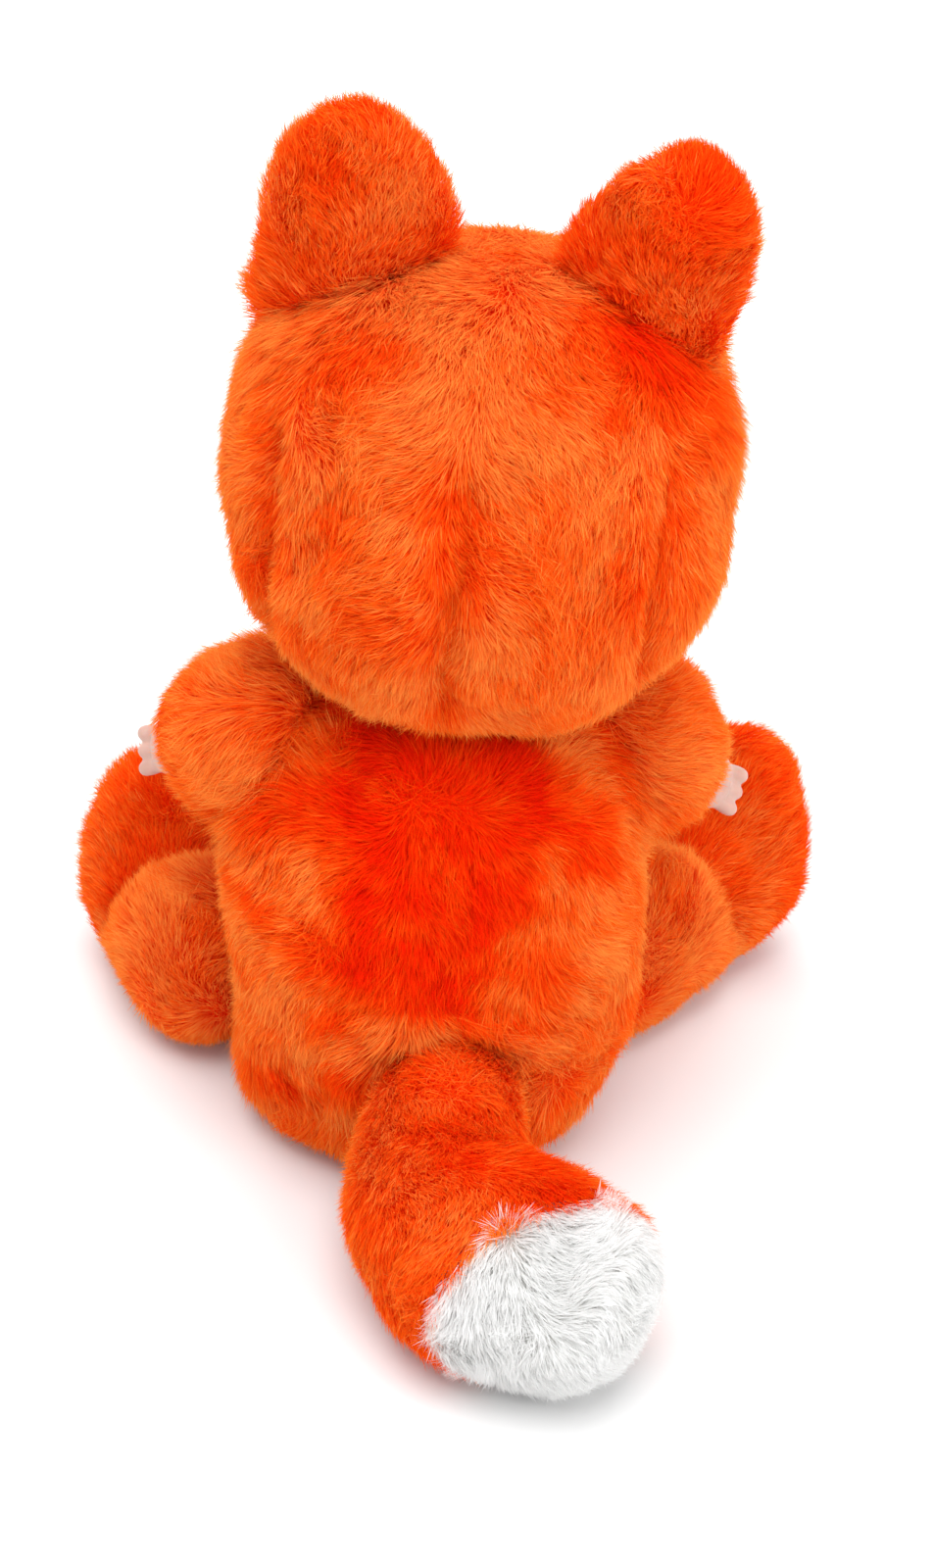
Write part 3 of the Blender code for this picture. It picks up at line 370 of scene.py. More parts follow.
ORANGE_ROOT = (0.97, 0.060, 0.001)
ORANGE_TIPS = (
    (0.00, (0.95, 0.022, 0.001)),
    (0.25, (0.98, 0.065, 0.001)),
    (0.50, (0.99, 0.135, 0.004)),
    (0.75, (1.00, 0.245, 0.015)),
    (1.00, (1.00, 0.430, 0.080)),
)
WHITE_ROOT = (0.80, 0.80, 0.79)
WHITE_TIPS = ((0.0, (0.92, 0.92, 0.91)), (0.5, (0.95, 0.95, 0.945)), (1.0, (0.98, 0.98, 0.98)))
CREAM_ROOT = (0.72, 0.56, 0.38)
CREAM_TIPS = ((0.0, (0.78, 0.62, 0.43)), (0.5, (0.88, 0.76, 0.58)), (1.0, (0.96, 0.89, 0.77)))

LOOKS = {
    ORANGE: pile_look("orange_pile", ORANGE_ROOT, ORANGE_TIPS, 0.10, (1.0, 0.38, 0.05)),
    WHITE: pile_look("white_pile", WHITE_ROOT, WHITE_TIPS, 0.2, (1.0, 1.0, 1.0)),
    CREAM: pile_look("cream_pile", CREAM_ROOT, CREAM_TIPS, 0.2, (1.0, 0.95, 0.85)),
}
BACKINGS = {
    ORANGE: backing_look("orange_backing", (0.94, 0.045, 0.001), (0.98, 0.090, 0.003)),
    WHITE: backing_look("white_backing", (0.55, 0.54, 0.51), (0.75, 0.74, 0.71)),
    CREAM: backing_look("cream_backing", (0.55, 0.42, 0.27), (0.74, 0.58, 0.40)),
}


# Soft forms


def form_mesh(name, nodes, voxel, rounds):
    """One smooth closed mesh round the CAD solids of a form."""
    bm = bmesh.new()
    for node in nodes:
        bm.from_mesh(NODES[node].data)
    mesh = bpy.data.meshes.new(name)
    bm.to_mesh(mesh)
    bm.free()
    obj = link(name + "_source", mesh)
    remesh = obj.modifiers.new("Remesh", "REMESH")
    remesh.mode = "VOXEL"
    remesh.voxel_size = voxel
    smooth = obj.modifiers.new("Smooth", "SMOOTH")
    smooth.factor = 0.5
    smooth.iterations = rounds
    made = bpy.data.meshes.new_from_object(evaluated(obj))
    bpy.data.objects.remove(obj, do_unlink=True)
    bm = bmesh.new()
    bm.from_mesh(made)
    keep_largest(bm)
    bm.to_mesh(made)
    bm.free()
    made.name = name
    return made


def keep_largest(bm):
    """Deletes what is loose inside a form."""
    left = set(bm.verts)
    islands = []
    while left:
        island, front = set(), [left.pop()]
        while front:
            vert = front.pop()
            if vert not in island:
                island.add(vert)
                front += [edge.other_vert(vert) for edge in vert.link_edges]
        left -= island
        islands.append(island)
    islands.sort(key=len)
    for island in islands[:-1]:
        bmesh.ops.delete(bm, geom=list(island), context="VERTS")


def normals_of(mesh):
    normals = np.zeros(len(mesh.vertices) * 3, np.float32)
    mesh.vertices.foreach_get("normal", normals)
    return normals.reshape(-1, 3).astype(float)


def set_points(mesh, points):
    mesh.vertices.foreach_set("co", points.astype(np.float32).ravel())
    mesh.update()


def stuffed(name, form, nodes, seams=(), groove=GROOVE):
    """A stuffed form: its cloth is held at the seams and swells between them under its filling."""
    voxel, rounds, inset, puff = FORMS[form]
    mesh = form_mesh(name, nodes, voxel, rounds)
    start = arrays(mesh)[0] - normals_of(mesh) * inset
    held = closeness(seams, start, SEAM_WIDTH)
    start -= normals_of(mesh) * (groove * held)[:, None]
    set_points(mesh, start)
    obj = link(name, mesh)
    held = np.maximum(held, fade(start[:, 2], 0.001, 0.006))
    out = (swollen(obj, held) * normals_of(mesh)).sum(1)
    share = np.clip(out / max(np.quantile(out, 0.8), 1e-6), LEAST_SWELL, 1)
    lumps = LUMPS * waves(start, LUMP_SIZE, len(nodes[0]))
    final = start + normals_of(mesh) * ((puff * share + lumps) * (1 - held))[:, None]
    final[:, 2] = np.maximum(final[:, 2], FLOOR_CLEAR)
    set_points(mesh, final)
    divide(obj)
    return obj


def swollen(obj, held):
    """How far the filling's pressure moves each corner of the cloth."""
    scene = bpy.context.scene
    group = obj.vertex_groups.new(name="held")
    for index, weight in enumerate(held):
        group.add([index], float(weight), "REPLACE")
    cloth = obj.modifiers.new("Cloth", "CLOTH")
    settings = cloth.settings
    settings.use_pressure = True
    settings.uniform_pressure_force = CLOTH_PRESSURE
    settings.effector_weights.gravity = 0
    settings.vertex_group_mass = "held"
    cloth.point_cache.frame_start = 1
    cloth.point_cache.frame_end = CLOTH_FRAMES
    for number in range(1, CLOTH_FRAMES + 1):
        scene.frame_set(number)
    after = arrays(evaluated(obj).data)[0]
    obj.modifiers.remove(cloth)
    obj.vertex_groups.remove(group)
    scene.frame_set(1)
    return after - arrays(obj.data)[0]


def divide(obj):
    subdivision = obj.modifiers.new("Subdivision", "SUBSURF")
    subdivision.levels = subdivision.render_levels = 1
    made = bpy.data.meshes.new_from_object(evaluated(obj))
    obj.modifiers.clear()
    old = obj.data
    obj.data = made
    bpy.data.meshes.remove(old)
    made.shade_smooth()


def clamp_neck(skin, height):
    """Lays the cloth round the neck's axis flat over the joint's disc."""
    points = arrays(skin.data)[0]
    flat = fade(off_neck(points), NECK_FLAT, NECK_FLAT + NECK_FADE)
    flat *= np.abs(points[:, 2] - NECK.z) < NECK_FADE * 2
    points[:, 2] += (height - points[:, 2]) * flat
    set_points(skin.data, points)


def plane_seam(point, normal, beyond=None):
    """How far points lie from a seam where a plane meets the form, which fades out beyond its ends."""
    normal = np.array(normal, float) / np.linalg.norm(normal)
    point = np.array(point, float)

    def distance(points):
        apart = np.abs((points - point) @ normal)
        if beyond is not None:
            apart = apart + SEAM_WIDTH * beyond(points)
        return apart

    return distance


def outside(values, low, high, width):
    """0 between two values, and growing to 1 over a width past either."""
    return np.maximum(grow(-values, -low, -low + width), grow(values, high, high + width))


def closeness(seams, points, width):
    """How near points are to the nearest seam: 1 on it, and 0 this far from it."""
    near = np.zeros(len(points))
    for seam in seams:
        near = np.maximum(near, fade(seam(points), 0.0, width))
    return near


def in_frame(points, matrix):
    """Points in the frame of a matrix."""
    inverse = np.array(matrix.inverted())
    return points @ inverse[:3, :3].T + inverse[:3, 3]


class Oval:
    """An oval panel of another cloth: its place and size come from its CAD node."""

    def __init__(self, node, matrix):
        self.matrix = matrix
        points = in_frame(arrays(NODES[node].data)[0], matrix)
        self.middle = (points.max(0) + points.min(0)) / 2
        self.half = (points.max(0) - points.min(0)) / 2

    def share(self, points):
        """How far out points are, from 0 in the middle to 1 at the edge; behind it they are far."""
        local = in_frame(points, self.matrix) - self.middle
        share = np.hypot(local[:, 0] / self.half[0], local[:, 1] / self.half[1])
        return np.where(local[:, 2] > -self.half[2], share, 9.0)

    def piece(self, name, skin, lift=0.0006, thick=0.0012, rings=9, sides=48):
        """The panel as a thin closed cloth that lies on the skin."""
        tree = tree_of(skin)
        out = (self.matrix.to_3x3() @ UP).normalized()
        bm = bmesh.new()
        loops = []
        for ring in range(rings + 1):
            share = ring / rings
            loop = []
            for k in range(sides if ring else 1):
                turn = 2 * math.pi * k / sides
                local = self.middle + np.array((
                    self.half[0] * share * math.cos(turn), self.half[1] * share * math.sin(turn), 0))
                start = self.matrix @ Vector(local) + out * 0.06
                hit, normal, _, _ = tree.ray_cast(start, -out)
                if hit is None:
                    hit, normal, _, _ = tree.find_nearest(self.matrix @ Vector(local))
                loop.append(bm.verts.new(hit + normal * lift))
            loops.append(loop)
        for low, high in zip(loops, loops[1:]):
            for k in range(sides):
                after = (k + 1) % sides
                corners = [low[k % len(low)], low[after % len(low)],
                           high[after % len(high)], high[k % len(high)]]
                bm.faces.new(list(dict.fromkeys(corners)))
        bm.normal_update()
        extruded = bmesh.ops.extrude_face_region(bm, geom=list(bm.faces), use_keep_orig=True)
        lower = [item for item in extruded["geom"] if isinstance(item, bmesh.types.BMVert)]
        for vert in lower:
            vert.co -= vert.normal * thick
        bmesh.ops.recalc_face_normals(bm, faces=bm.faces)
        return link_mesh(name, bm)


# Pile


def comb(whorls=(), along=(), swirl=0.35, swirl_size=0.012, seed=1, seam=None, calm=0.010):
    """Which way the pile is combed: away from whorls, along ways, and out from a seam between panels."""

    def flow(points):
        total = np.zeros_like(points)
        for whorl, weight, reach in whorls:
            step = points - np.array(whorl)
            distance = np.linalg.norm(step, axis=1, keepdims=True)
            grown = grow(distance, calm * 0.3, calm * 1.6)
            total += weight * grown * unit(step) * np.exp(-(distance / reach) ** 2)
        for way, weight in along:
            total += weight * np.array(way)
        if seam is not None:
            total += seam(points)
        size = np.linalg.norm(total, axis=1, keepdims=True)
        total = total / np.maximum(size, 0.45)
        return total + swirl * swirls(points, swirl_size, seed)

    return flow


def clumps(points, size, seed):
    """Which clump each point belongs to."""
    warped = points + 0.35 * size * swirls(points, size * 1.6, seed)
    cells = np.floor(warped / size).astype(np.int64)
    keys = cells @ np.array((73856093, 19349663, 83492791))
    return np.unique(keys, return_inverse=True)[1]


def means(index, values):
    """The mean of the values that share an index, at each of them."""
    counts = np.bincount(index)
    return np.stack([np.bincount(index, weights=column) / counts for column in values.T], axis=1)[index]


def roots_on(skin, seed, denser=1.0):
    """Random places on a skin, with the smooth normal at each."""
    rng = np.random.default_rng(seed)
    density = DENSITY * denser
    mesh = skin.data
    points, faces = arrays(mesh)
    normals = normals_of(mesh)
    a, b, c = (points[faces[:, k]] for k in range(3))
    areas = np.linalg.norm(np.cross(b - a, c - a), axis=1) / 2
    counts = np.floor(areas * density + rng.random(len(areas))).astype(int)
    chosen = np.repeat(np.arange(len(faces)), counts)
    u, v = rng.random((2, len(chosen)))
    flip = u + v > 1
    u, v = np.where(flip, 1 - u, u), np.where(flip, 1 - v, v)
    weights = np.stack([1 - u - v, u, v], axis=1)[:, :, None]
    corner = faces[chosen]
    roots = (points[corner] * weights).sum(1)
    return roots, unit((normals[corner] * weights).sum(1))


def at(value, points):
    """A value at each point: the value itself, or what it gives when it is a function."""
    return value(points) if callable(value) else np.full(len(points), value)


def pile(name, body, slot, roots, normals, chosen, flow, length, lift, tone, seed, width=STRAND_WIDTH):
    """Strands of plush on the chosen roots: combed, gathered in clumps, lighter towards their tips."""
    rng = np.random.default_rng(seed)
    roots, normals = roots[chosen], normals[chosen]
    count = len(roots)
    way = flow(roots)
    way -= normals * (way * normals).sum(1, keepdims=True)
    still = np.maximum(0, 0.55 - np.linalg.norm(way, axis=1, keepdims=True))
    way = unit(way + 1.2 * still * rng.normal(size=(count, 3)))
    way = unit(way - normals * (way * normals).sum(1, keepdims=True))
    lock = clumps(roots, LOCK_SIZE, seed + 11)
    tuft = clumps(roots, TUFT_SIZE, seed + 12)
    lock_random = rng.normal(size=(lock.max() + 1, 4))[lock]
    tuft_random = rng.normal(size=(tuft.max() + 1, 4))[tuft]
    own = rng.normal(size=(count, 4))
    side = np.cross(normals, way)
    stray = rng.random(count) < STRAYS
    rise = at(lift, roots) + 0.09 * tuft_random[:, 0] + 0.09 * lock_random[:, 0]
    rise = np.clip(rise + 0.16 * own[:, 0] + 0.35 * stray, 0.04, 1.2)[:, None]
    turn = 0.14 * tuft_random[:, 1] + 0.12 * lock_random[:, 1] + 0.34 * own[:, 1]
    way = unit(way + side * turn[:, None])
    size = 1 + 0.05 * tuft_random[:, 2] + 0.05 * lock_random[:, 2] + 0.13 * own[:, 2] + 0.10 * stray
    plain = at(length, roots)
    size = np.clip(plain * LONGER * size, 0.3 * plain, 1.45 * plain)[:, None]
    first = unit(normals * (rise + 0.45) + way * 0.8)
    second = unit(normals * rise * 0.75 + way)
    middle = roots + first * size * 0.45
    tip = middle + second * size * 0.55
    tip = tip + (means(lock, tip) - tip) * np.clip(0.16 + 0.10 * lock_random[:, 3:], 0.0, 0.4)
    middle = middle + (means(lock, middle) - middle) * 0.08
    for points in (middle, tip):
        points[:, 2] = np.maximum(points[:, 2], FLOOR_CLEAR)
    run = unit(tip - roots)
    flat = unit(np.cross(run, normals))
    angle = rng.uniform(-0.9, 0.9, count)[:, None]
    across = flat * np.cos(angle) + np.cross(run, flat) * np.sin(angle)
    half = across * width / 2 * rng.uniform(0.7, 1.3, count)[:, None]
    points = np.stack([roots, middle - half, middle + half, tip], axis=1)
    shade = at(tone, roots) + 0.06 * tuft_random[:, 3] + 0.05 * lock_random[:, 2]
    shade = shade + 0.10 * own[:, 3] + 0.08 * stray
    shade += 0.09 * (np.abs(rng.normal(size=count)) - 0.5)
    column = np.floor(np.clip(shade, 0, 0.999) * COLUMNS)
    corners = (np.arange(count)[:, None] * 4 + np.array((0, 2, 1, 1, 2, 3))).ravel()
    u = (column[:, None] + np.array((0.5, 0.2, 0.8, 0.2, 0.8, 0.5))) / COLUMNS
    v = np.broadcast_to(np.array((0.01, 0.45, 0.45, 0.45, 0.45, 0.99)), u.shape)
    uvs = np.stack([u, v], axis=2)
    mesh = bpy.data.meshes.new(name)
    mesh.vertices.add(4 * count)
    mesh.vertices.foreach_set("co", points.astype(np.float32).ravel())
    mesh.loops.add(len(corners))
    mesh.loops.foreach_set("vertex_index", corners.astype(np.int32))
    mesh.polygons.add(2 * count)
    mesh.polygons.foreach_set("loop_start", np.arange(0, len(corners), 3, dtype=np.int32))
    mesh.update(calc_edges=True)
    mesh.uv_layers.new(name="OFBake").data.foreach_set("uv", uvs.astype(np.float32).ravel())
    mesh.shade_smooth()
    given(link(name, mesh), LOOKS[slot], body)


def buried(roots, skin, depth, low, high):
    """Which roots lie deeper than this inside another form's cloth, of those within a box."""
    tree = tree_of(skin)
    near = np.all((roots > np.array(low)) & (roots < np.array(high)), axis=1)
    inside = np.zeros(len(roots), bool)
    for index in np.nonzero(near)[0]:
        root = Vector(roots[index])
        place, normal, _, _ = tree.find_nearest(root)
        inside[index] = (place - root).dot(normal) > depth
    return inside


def dress(skin, body, slot, nodes):
    """The cloth of a stuffed form: its material, its body and the CAD solids that it stands for."""
    given(skin, BACKINGS[slot], body, nodes)
    return skin


def patch(oval, name, skin, body, slot, node):
    given(oval.piece(name, skin), BACKINGS[slot], body, (node,))


# Torso


def make_torso():
    nodes = ("torso_skin", "torso_stuffing", "pellet_bag", "belly_panel")
    skin = stuffed("torso_plush", "torso", nodes, [plane_seam((0, BODY_SEAM_Y, 0), (0, 1, 0))])
    points = arrays(skin.data)[0]
    beside = grow(points[:, 0], 0.012, 0.034) * np.exp(-((points[:, 2] - 0.058) / 0.020) ** 2)
    points[:, 0] += FLANK * beside * grow(points[:, 1], -0.020, 0.006)
    low = grow(-points[:, 0], 0.012, 0.034) * fade(points[:, 2], 0.012, 0.040)
    points[:, 0] += SEAT_IN * low * grow(points[:, 1], -0.010, 0.010)
    set_points(skin.data, points)
    clamp_neck(skin, NECK.z - TORSO_UNDER_NECK)
    dress(skin, "torso", ORANGE, nodes[:3])
    belly = Oval("belly_panel", AHEAD)
    patch(belly, "belly_plush", skin, "torso", CREAM, "belly_panel")
    roots, normals = roots_on(skin, 21)
    in_belly = belly.share(roots) < 1
    hidden = (off_neck(roots) < NECK_FLAT) & (roots[:, 2] > 0.088)
    hidden |= away(roots, TAIL_BALL) < SOCKET

    def by_arm(points):
        """1 round the shoulders, and 0 away from them."""
        near = np.full(len(points), 1.0)
        for side in SIDES.values():
            near = np.minimum(near, away(points, on_side(SHOULDER, side)))
        return fade(near, 0.014, 0.026)

    def tone(points):
        """Painted shade: deep red round the whorl and up under the head, where the head's shadow falls, and
        lighter away from it.
        """
        step = points - BACK_WHORL
        down = np.where(step[:, 2] < 0, step[:, 2] * 0.9, step[:, 2] * 0.35)
        near = np.hypot(step[:, 0] + 0.25 * np.minimum(step[:, 2], 0), down)
        near += 0.0060 * waves(points, 0.011, 35)
        sides = grow(near, 0.010, 0.036)
        low = grow(-step[:, 2], 0.020, 0.045)
        shade = 0.15 + 0.69 * sides - 0.12 * low
        return shade + 0.10 * waves(points, 0.008, 36) + 0.11 * waves(points, 0.004, 37)

    def lift(points):
        near = away(points, BACK_WHORL)
        return 0.70 - 0.30 * grow(near, 0.014, 0.036) + 0.35 * by_arm(points)

    def length(points):
        near = away(points, TAIL_BALL)
        over_tail = fade(near, 0.018, 0.026)
        base = LENGTHS["torso"] - 0.0024 * grow(-points[:, 2], -0.006, 0.0)
        return base + 0.0024 * over_tail + 0.0055 * by_arm(points)

    flow = comb(whorls=((BACK_WHORL, 1.0, 0.050), ((0, -0.050, 0.060), 0.8, 0.045)),
                along=((DOWN, 0.60),), swirl=0.60, swirl_size=0.012, seed=31, calm=0.014)
    left = roots[:, 0] > 0
    back = roots[:, 1] > BODY_SEAM_Y
    quarters = {
        "back_left": left & back, "back_right": ~left & back,
        "front_left": left & ~back, "front_right": ~left & ~back,
    }
    for number, (name, inside) in enumerate(quarters.items()):
        pile(f"torso_pile_{name}", "torso", ORANGE, roots, normals, inside & ~in_belly & ~hidden,
             flow, length, lift, tone, 41 + number)
    flow = comb(along=((DOWN, 1.0),), swirl=0.35, swirl_size=0.010, seed=33)
    pile("belly_pile", "torso", CREAM, roots, normals, in_belly & ~hidden,
         flow, LENGTHS["belly"], 0.35, 0.68, 47)


# Head


def make_head():
    nodes = ("head_skin", "head_stuffing", "cheek_left", "cheek_right")
    matrix = head_matrix()
    turn = np.array(matrix.to_3x3())
    centre = np.array(HEAD_CENTRE)
    behind = turn @ np.array((0, 1, 0))
    across = turn @ np.array((1, 0, 0))

    def off_back(points):
        """0 on the part of the back that the middle seam runs down, and 1 off it."""
        ahead = fade((points - centre) @ behind, 0.0, 0.010)
        return np.maximum(ahead, outside(points[:, 2], 0.116, 0.156, 0.012))

    seams = [plane_seam(HEAD_CENTRE, across, off_back)]
    for side in SIDES.values():
        normal = turn @ np.array((side, -SIDE_SEAM_SLANT, 0.0))
        place = centre + turn @ np.array((side * SIDE_SEAM, 0, 0))
        seams.append(plane_seam(place, normal, lambda p: outside(p[:, 2], 0.122, 0.150, 0.020)))
    skin = stuffed("head_plush", "head", nodes, seams, groove=0.0013)
    points = arrays(skin.data)[0]
    near = away(points, TEMPLE)
    points += normals_of(skin.data) * (TEMPLE_SWELL * np.exp(-(near / TEMPLE_REACH) ** 2))[:, None]
    set_points(skin.data, points)
    clamp_neck(skin, NECK.z + HEAD_OVER_NECK)
    dress(skin, "head", ORANGE, nodes[:2])
    cheeks = {}
    for name in SIDES:
        cheeks[name] = Oval(f"cheek_{name}", matrix @ AHEAD)
        patch(cheeks[name], f"cheek_{name}_plush", skin, "head", CREAM, f"cheek_{name}")
    muzzle = make_muzzle(behind)

    def parted(points):
        """Back over the top, then down; out to both sides of each seam below the whorl."""
        inside = (points - HEAD_WHORL) @ turn
        back = grow(inside[:, 1:2], -0.034, -0.006)
        high = grow(inside[:, 2:], -0.010, 0.006)
        total = back * high * behind * 1.1
        low = back * (1 - high)
        out = inside[:, :1] / np.hypot(inside[:, :1], 0.006) * np.exp(-(inside[:, :1] / 0.016) ** 2)
        total = total + low * out * across * 1.0
        for side in SIDES.values():
            step = (points - centre) @ turn @ np.array((side, -SIDE_SEAM_SLANT, 0.0)) - SIDE_SEAM
            apart = step / np.hypot(step, 0.004) * np.exp(-(step / 0.010) ** 2)
            total = total + low * apart[:, None] * across * side * 0.7
        return total

    def tone(points):
        inside = (points - centre) @ turn
        sides = grow(np.abs(inside[:, 0]), 0.018, 0.040)
        low = grow(-inside[:, 2], -0.012, 0.034)
        # painted light: the pile lighter on the top of the head, where light falls from above
        top = grow(inside[:, 2], 0.020, 0.040)
        # painted shade: the pile deeper red along the seams' creases
        crease_shade = closeness(seams, points, 0.0075)
        patches = 0.10 * waves(points, 0.010, 58)
        # painted shade: the pile deeper red round each of these places, where shadow falls
        red = 0.0
        for place, amount, reach in PAINTED_SHADE:
            red = red + amount * np.exp(-(away(points, place) / reach) ** 2)
        return 0.78 + 0.08 * sides + 0.06 * low + 0.16 * top + patches - 0.22 * crease_shade - red

    def length(points):
        inside = (points - centre) @ turn
        front = grow(-inside[:, 1], 0.018, 0.038)
        by_ear = np.full(len(points), 1.0)
        for name in SIDES:
            by_ear = np.minimum(by_ear, away(points, ear_root(name, 0.004)))
        ears = fade(by_ear, 0.014, 0.022)
        return LENGTHS["head"] - 0.0019 * front - 0.0014 * closeness(seams, points, 0.0060) + 0.0026 * ears

    def lift(points):
        inside = (points - centre) @ turn
        top = grow(inside[:, 2], 0.012, 0.030)
        return 0.42 - 0.24 * top + 0.08 * waves(points, 0.016, 59)

    roots, normals = roots_on(skin, 22)
    local = (roots - centre) @ turn
    face = centre + turn @ np.array((0, -0.046, -0.004))
    flow = comb(whorls=((face, 1.5, 0.042),), along=((DOWN, 0.62),),
                swirl=0.46, swirl_size=0.011, seed=51, seam=parted)
    hidden = (off_neck(roots) < NECK_FLAT) & (roots[:, 2] < 0.1)
    for name in SIDES:
        hidden |= away(roots, middle_of(f"eye_{name}")) < 0.0060
    hidden |= buried(roots, muzzle, 0.0, *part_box("muzzle_skin"))
    in_cheek = {name: oval.share(roots) < 1 for name, oval in cheeks.items()}
    taken = hidden | in_cheek["left"] | in_cheek["right"]
    left = local[:, 0] >= 0
    wide = np.abs(local[:, 0]) >= PANEL_HALF
    back = local[:, 1] > FACE_EDGE
    parts = {
        "centre_left": left & ~wide & back, "centre_right": ~left & ~wide & back,
        "side_left": left & wide & back, "side_right": ~left & wide & back, "face": ~back,
    }
    for number, (name, inside) in enumerate(parts.items()):
        pile(f"head_pile_{name}", "head", ORANGE, roots, normals, inside & ~taken,
             flow, length, lift, tone, 61 + number)
    for number, (name, inside) in enumerate(in_cheek.items()):
        pile(f"cheek_{name}_pile", "head", CREAM, roots, normals, inside & ~hidden,
             flow, LENGTHS["cheek"], 0.30, 0.75, 71 + number)
    roots, normals = roots_on(muzzle, 23, 1.3)
    nose = np.array(middle_of("nose"))
    flow = comb(whorls=((nose, 1.0, 0.2),), swirl=0.2, swirl_size=0.008, seed=57)
    pile("muzzle_pile", "head", CREAM, roots, normals, away(roots, nose) > 0.0062,
         flow, LENGTHS["muzzle"], 0.40, 0.66, 75, STRAND_WIDTH * 0.9)
    make_ears(matrix)
    return muzzle


def make_muzzle(behind):
    """The muzzle's cloth, which gets slimmer towards the nose."""
    nodes = ("muzzle_skin", "muzzle_stuffing")
    muzzle = stuffed("muzzle_plush", "muzzle", nodes)
    low, high = corners_of("muzzle_skin")
    points = arrays(muzzle.data)[0]
    off = points - (low + high) / 2
    along = off @ -behind
    off = off - along[:, None] * -behind
    points -= off * (MUZZLE_TAPER * grow(along, -0.006, 0.020))[:, None]
    set_points(muzzle.data, points)
    return dress(muzzle, "head", CREAM, nodes)


def ear_root(name, up):
    """A point so far over the lowest point of an ear, in its middle."""
    low, high = corners_of(f"ear_{name}")
    return np.array(((low[0] + high[0]) / 2, (low[1] + high[1]) / 2, low[2] + up))


def bend_ear(skin, name):
    """The left ear leans a little out towards its top; the right one is slimmer on both sides."""
    points = arrays(skin.data)[0]
    low, high = corners_of(f"ear_{name}")
    if name == "left":
        points[:, 0] += EAR_LEAN * grow(points[:, 2], low[2] + 0.016, high[2] - 0.010)
    else:
        middle = (low[0] + high[0]) / 2
        outer = grow(-points[:, 0], -middle - 0.004, -low[0])
        inner = grow(points[:, 0], middle - 0.002, high[0] - 0.002)
        inner *= grow(points[:, 2], high[2] - 0.026, high[2] - 0.004)
        points[:, 0] += EAR_SLIMMER * outer - EAR_SLIMMER * inner
    set_points(skin.data, points)


def make_ears(matrix):
    for number, name in enumerate(SIDES):
        nodes = (f"ear_{name}", f"ear_inner_{name}")
        skin = stuffed(f"ear_{name}_plush", "ear", nodes)
        bend_ear(skin, name)
        dress(skin, "head", ORANGE, nodes[:1])
        inner = Oval(nodes[1], matrix @ AHEAD)
        patch(inner, f"ear_{name}_lining", skin, "head", CREAM, nodes[1])
        roots, normals = roots_on(skin, 81 + number, 1.1)
        low = corners_of(nodes[0])[0]
        lining = inner.share(roots) < 1
        flow = comb(whorls=((ear_root(name, -0.004), 1.0, 0.2),),
                    along=((tuple(matrix.to_3x3() @ Vector((0, 0.3, 0))), 0.3),),
                    swirl=0.62, swirl_size=0.010, seed=83 + number)

        def length(points):
            grown = 0.0018 if name == "left" else 0.0006
            return LENGTHS["ear"] + grown * fade(points[:, 2], low[2] + 0.004, low[2] + 0.016)

        pile(f"ear_{name}_pile", "head", ORANGE, roots, normals, ~lining,
             flow, length, 0.52, lambda p: 0.68 + 0.14 * waves(p, 0.010, 85), 87 + number)
        pile(f"ear_{name}_lining_pile", "head", CREAM, roots, normals, lining,
             flow, LENGTHS["lining"], 0.4, 0.6, 89 + number)


# Arms, legs and tail


def make_arms():
    for number, (name, side) in enumerate(SIDES.items()):
        body = f"arm_{name}"
        nodes = (f"arm_skin_{name}", f"arm_stuffing_{name}")
        skin = stuffed(f"arm_{name}_plush", "arm", nodes)
        dress(skin, body, ORANGE, nodes)
        roots, normals = roots_on(skin, 101 + number)
        shoulder = on_side(SHOULDER, side)
        low, high = corners_of(f"hand_{name}")
        hand = (low + high) / 2
        wrist = away(roots, hand) < 0.0064
        hidden = (roots - shoulder) @ on_side(SHOULDER_WAY, side) < 0.0016
        way = hand - shoulder
        flow = comb(whorls=((shoulder, 0.9, 0.1),), along=((tuple(way / np.linalg.norm(way)), 0.8),),
                    swirl=0.55, swirl_size=0.010, seed=103 + number)

        def length(points):
            near = away(points, shoulder)
            by_hand = fade(away(points, hand), 0.007, 0.014)
            return LENGTHS["arm"] + 0.0028 * fade(near, 0.014, 0.024) - 0.0014 * by_hand

        pile(f"arm_{name}_pile", body, ORANGE, roots, normals, ~wrist & ~hidden,
             flow, length, 0.50, lambda p: 0.80 + 0.14 * waves(p, 0.011, 105), 107 + number)


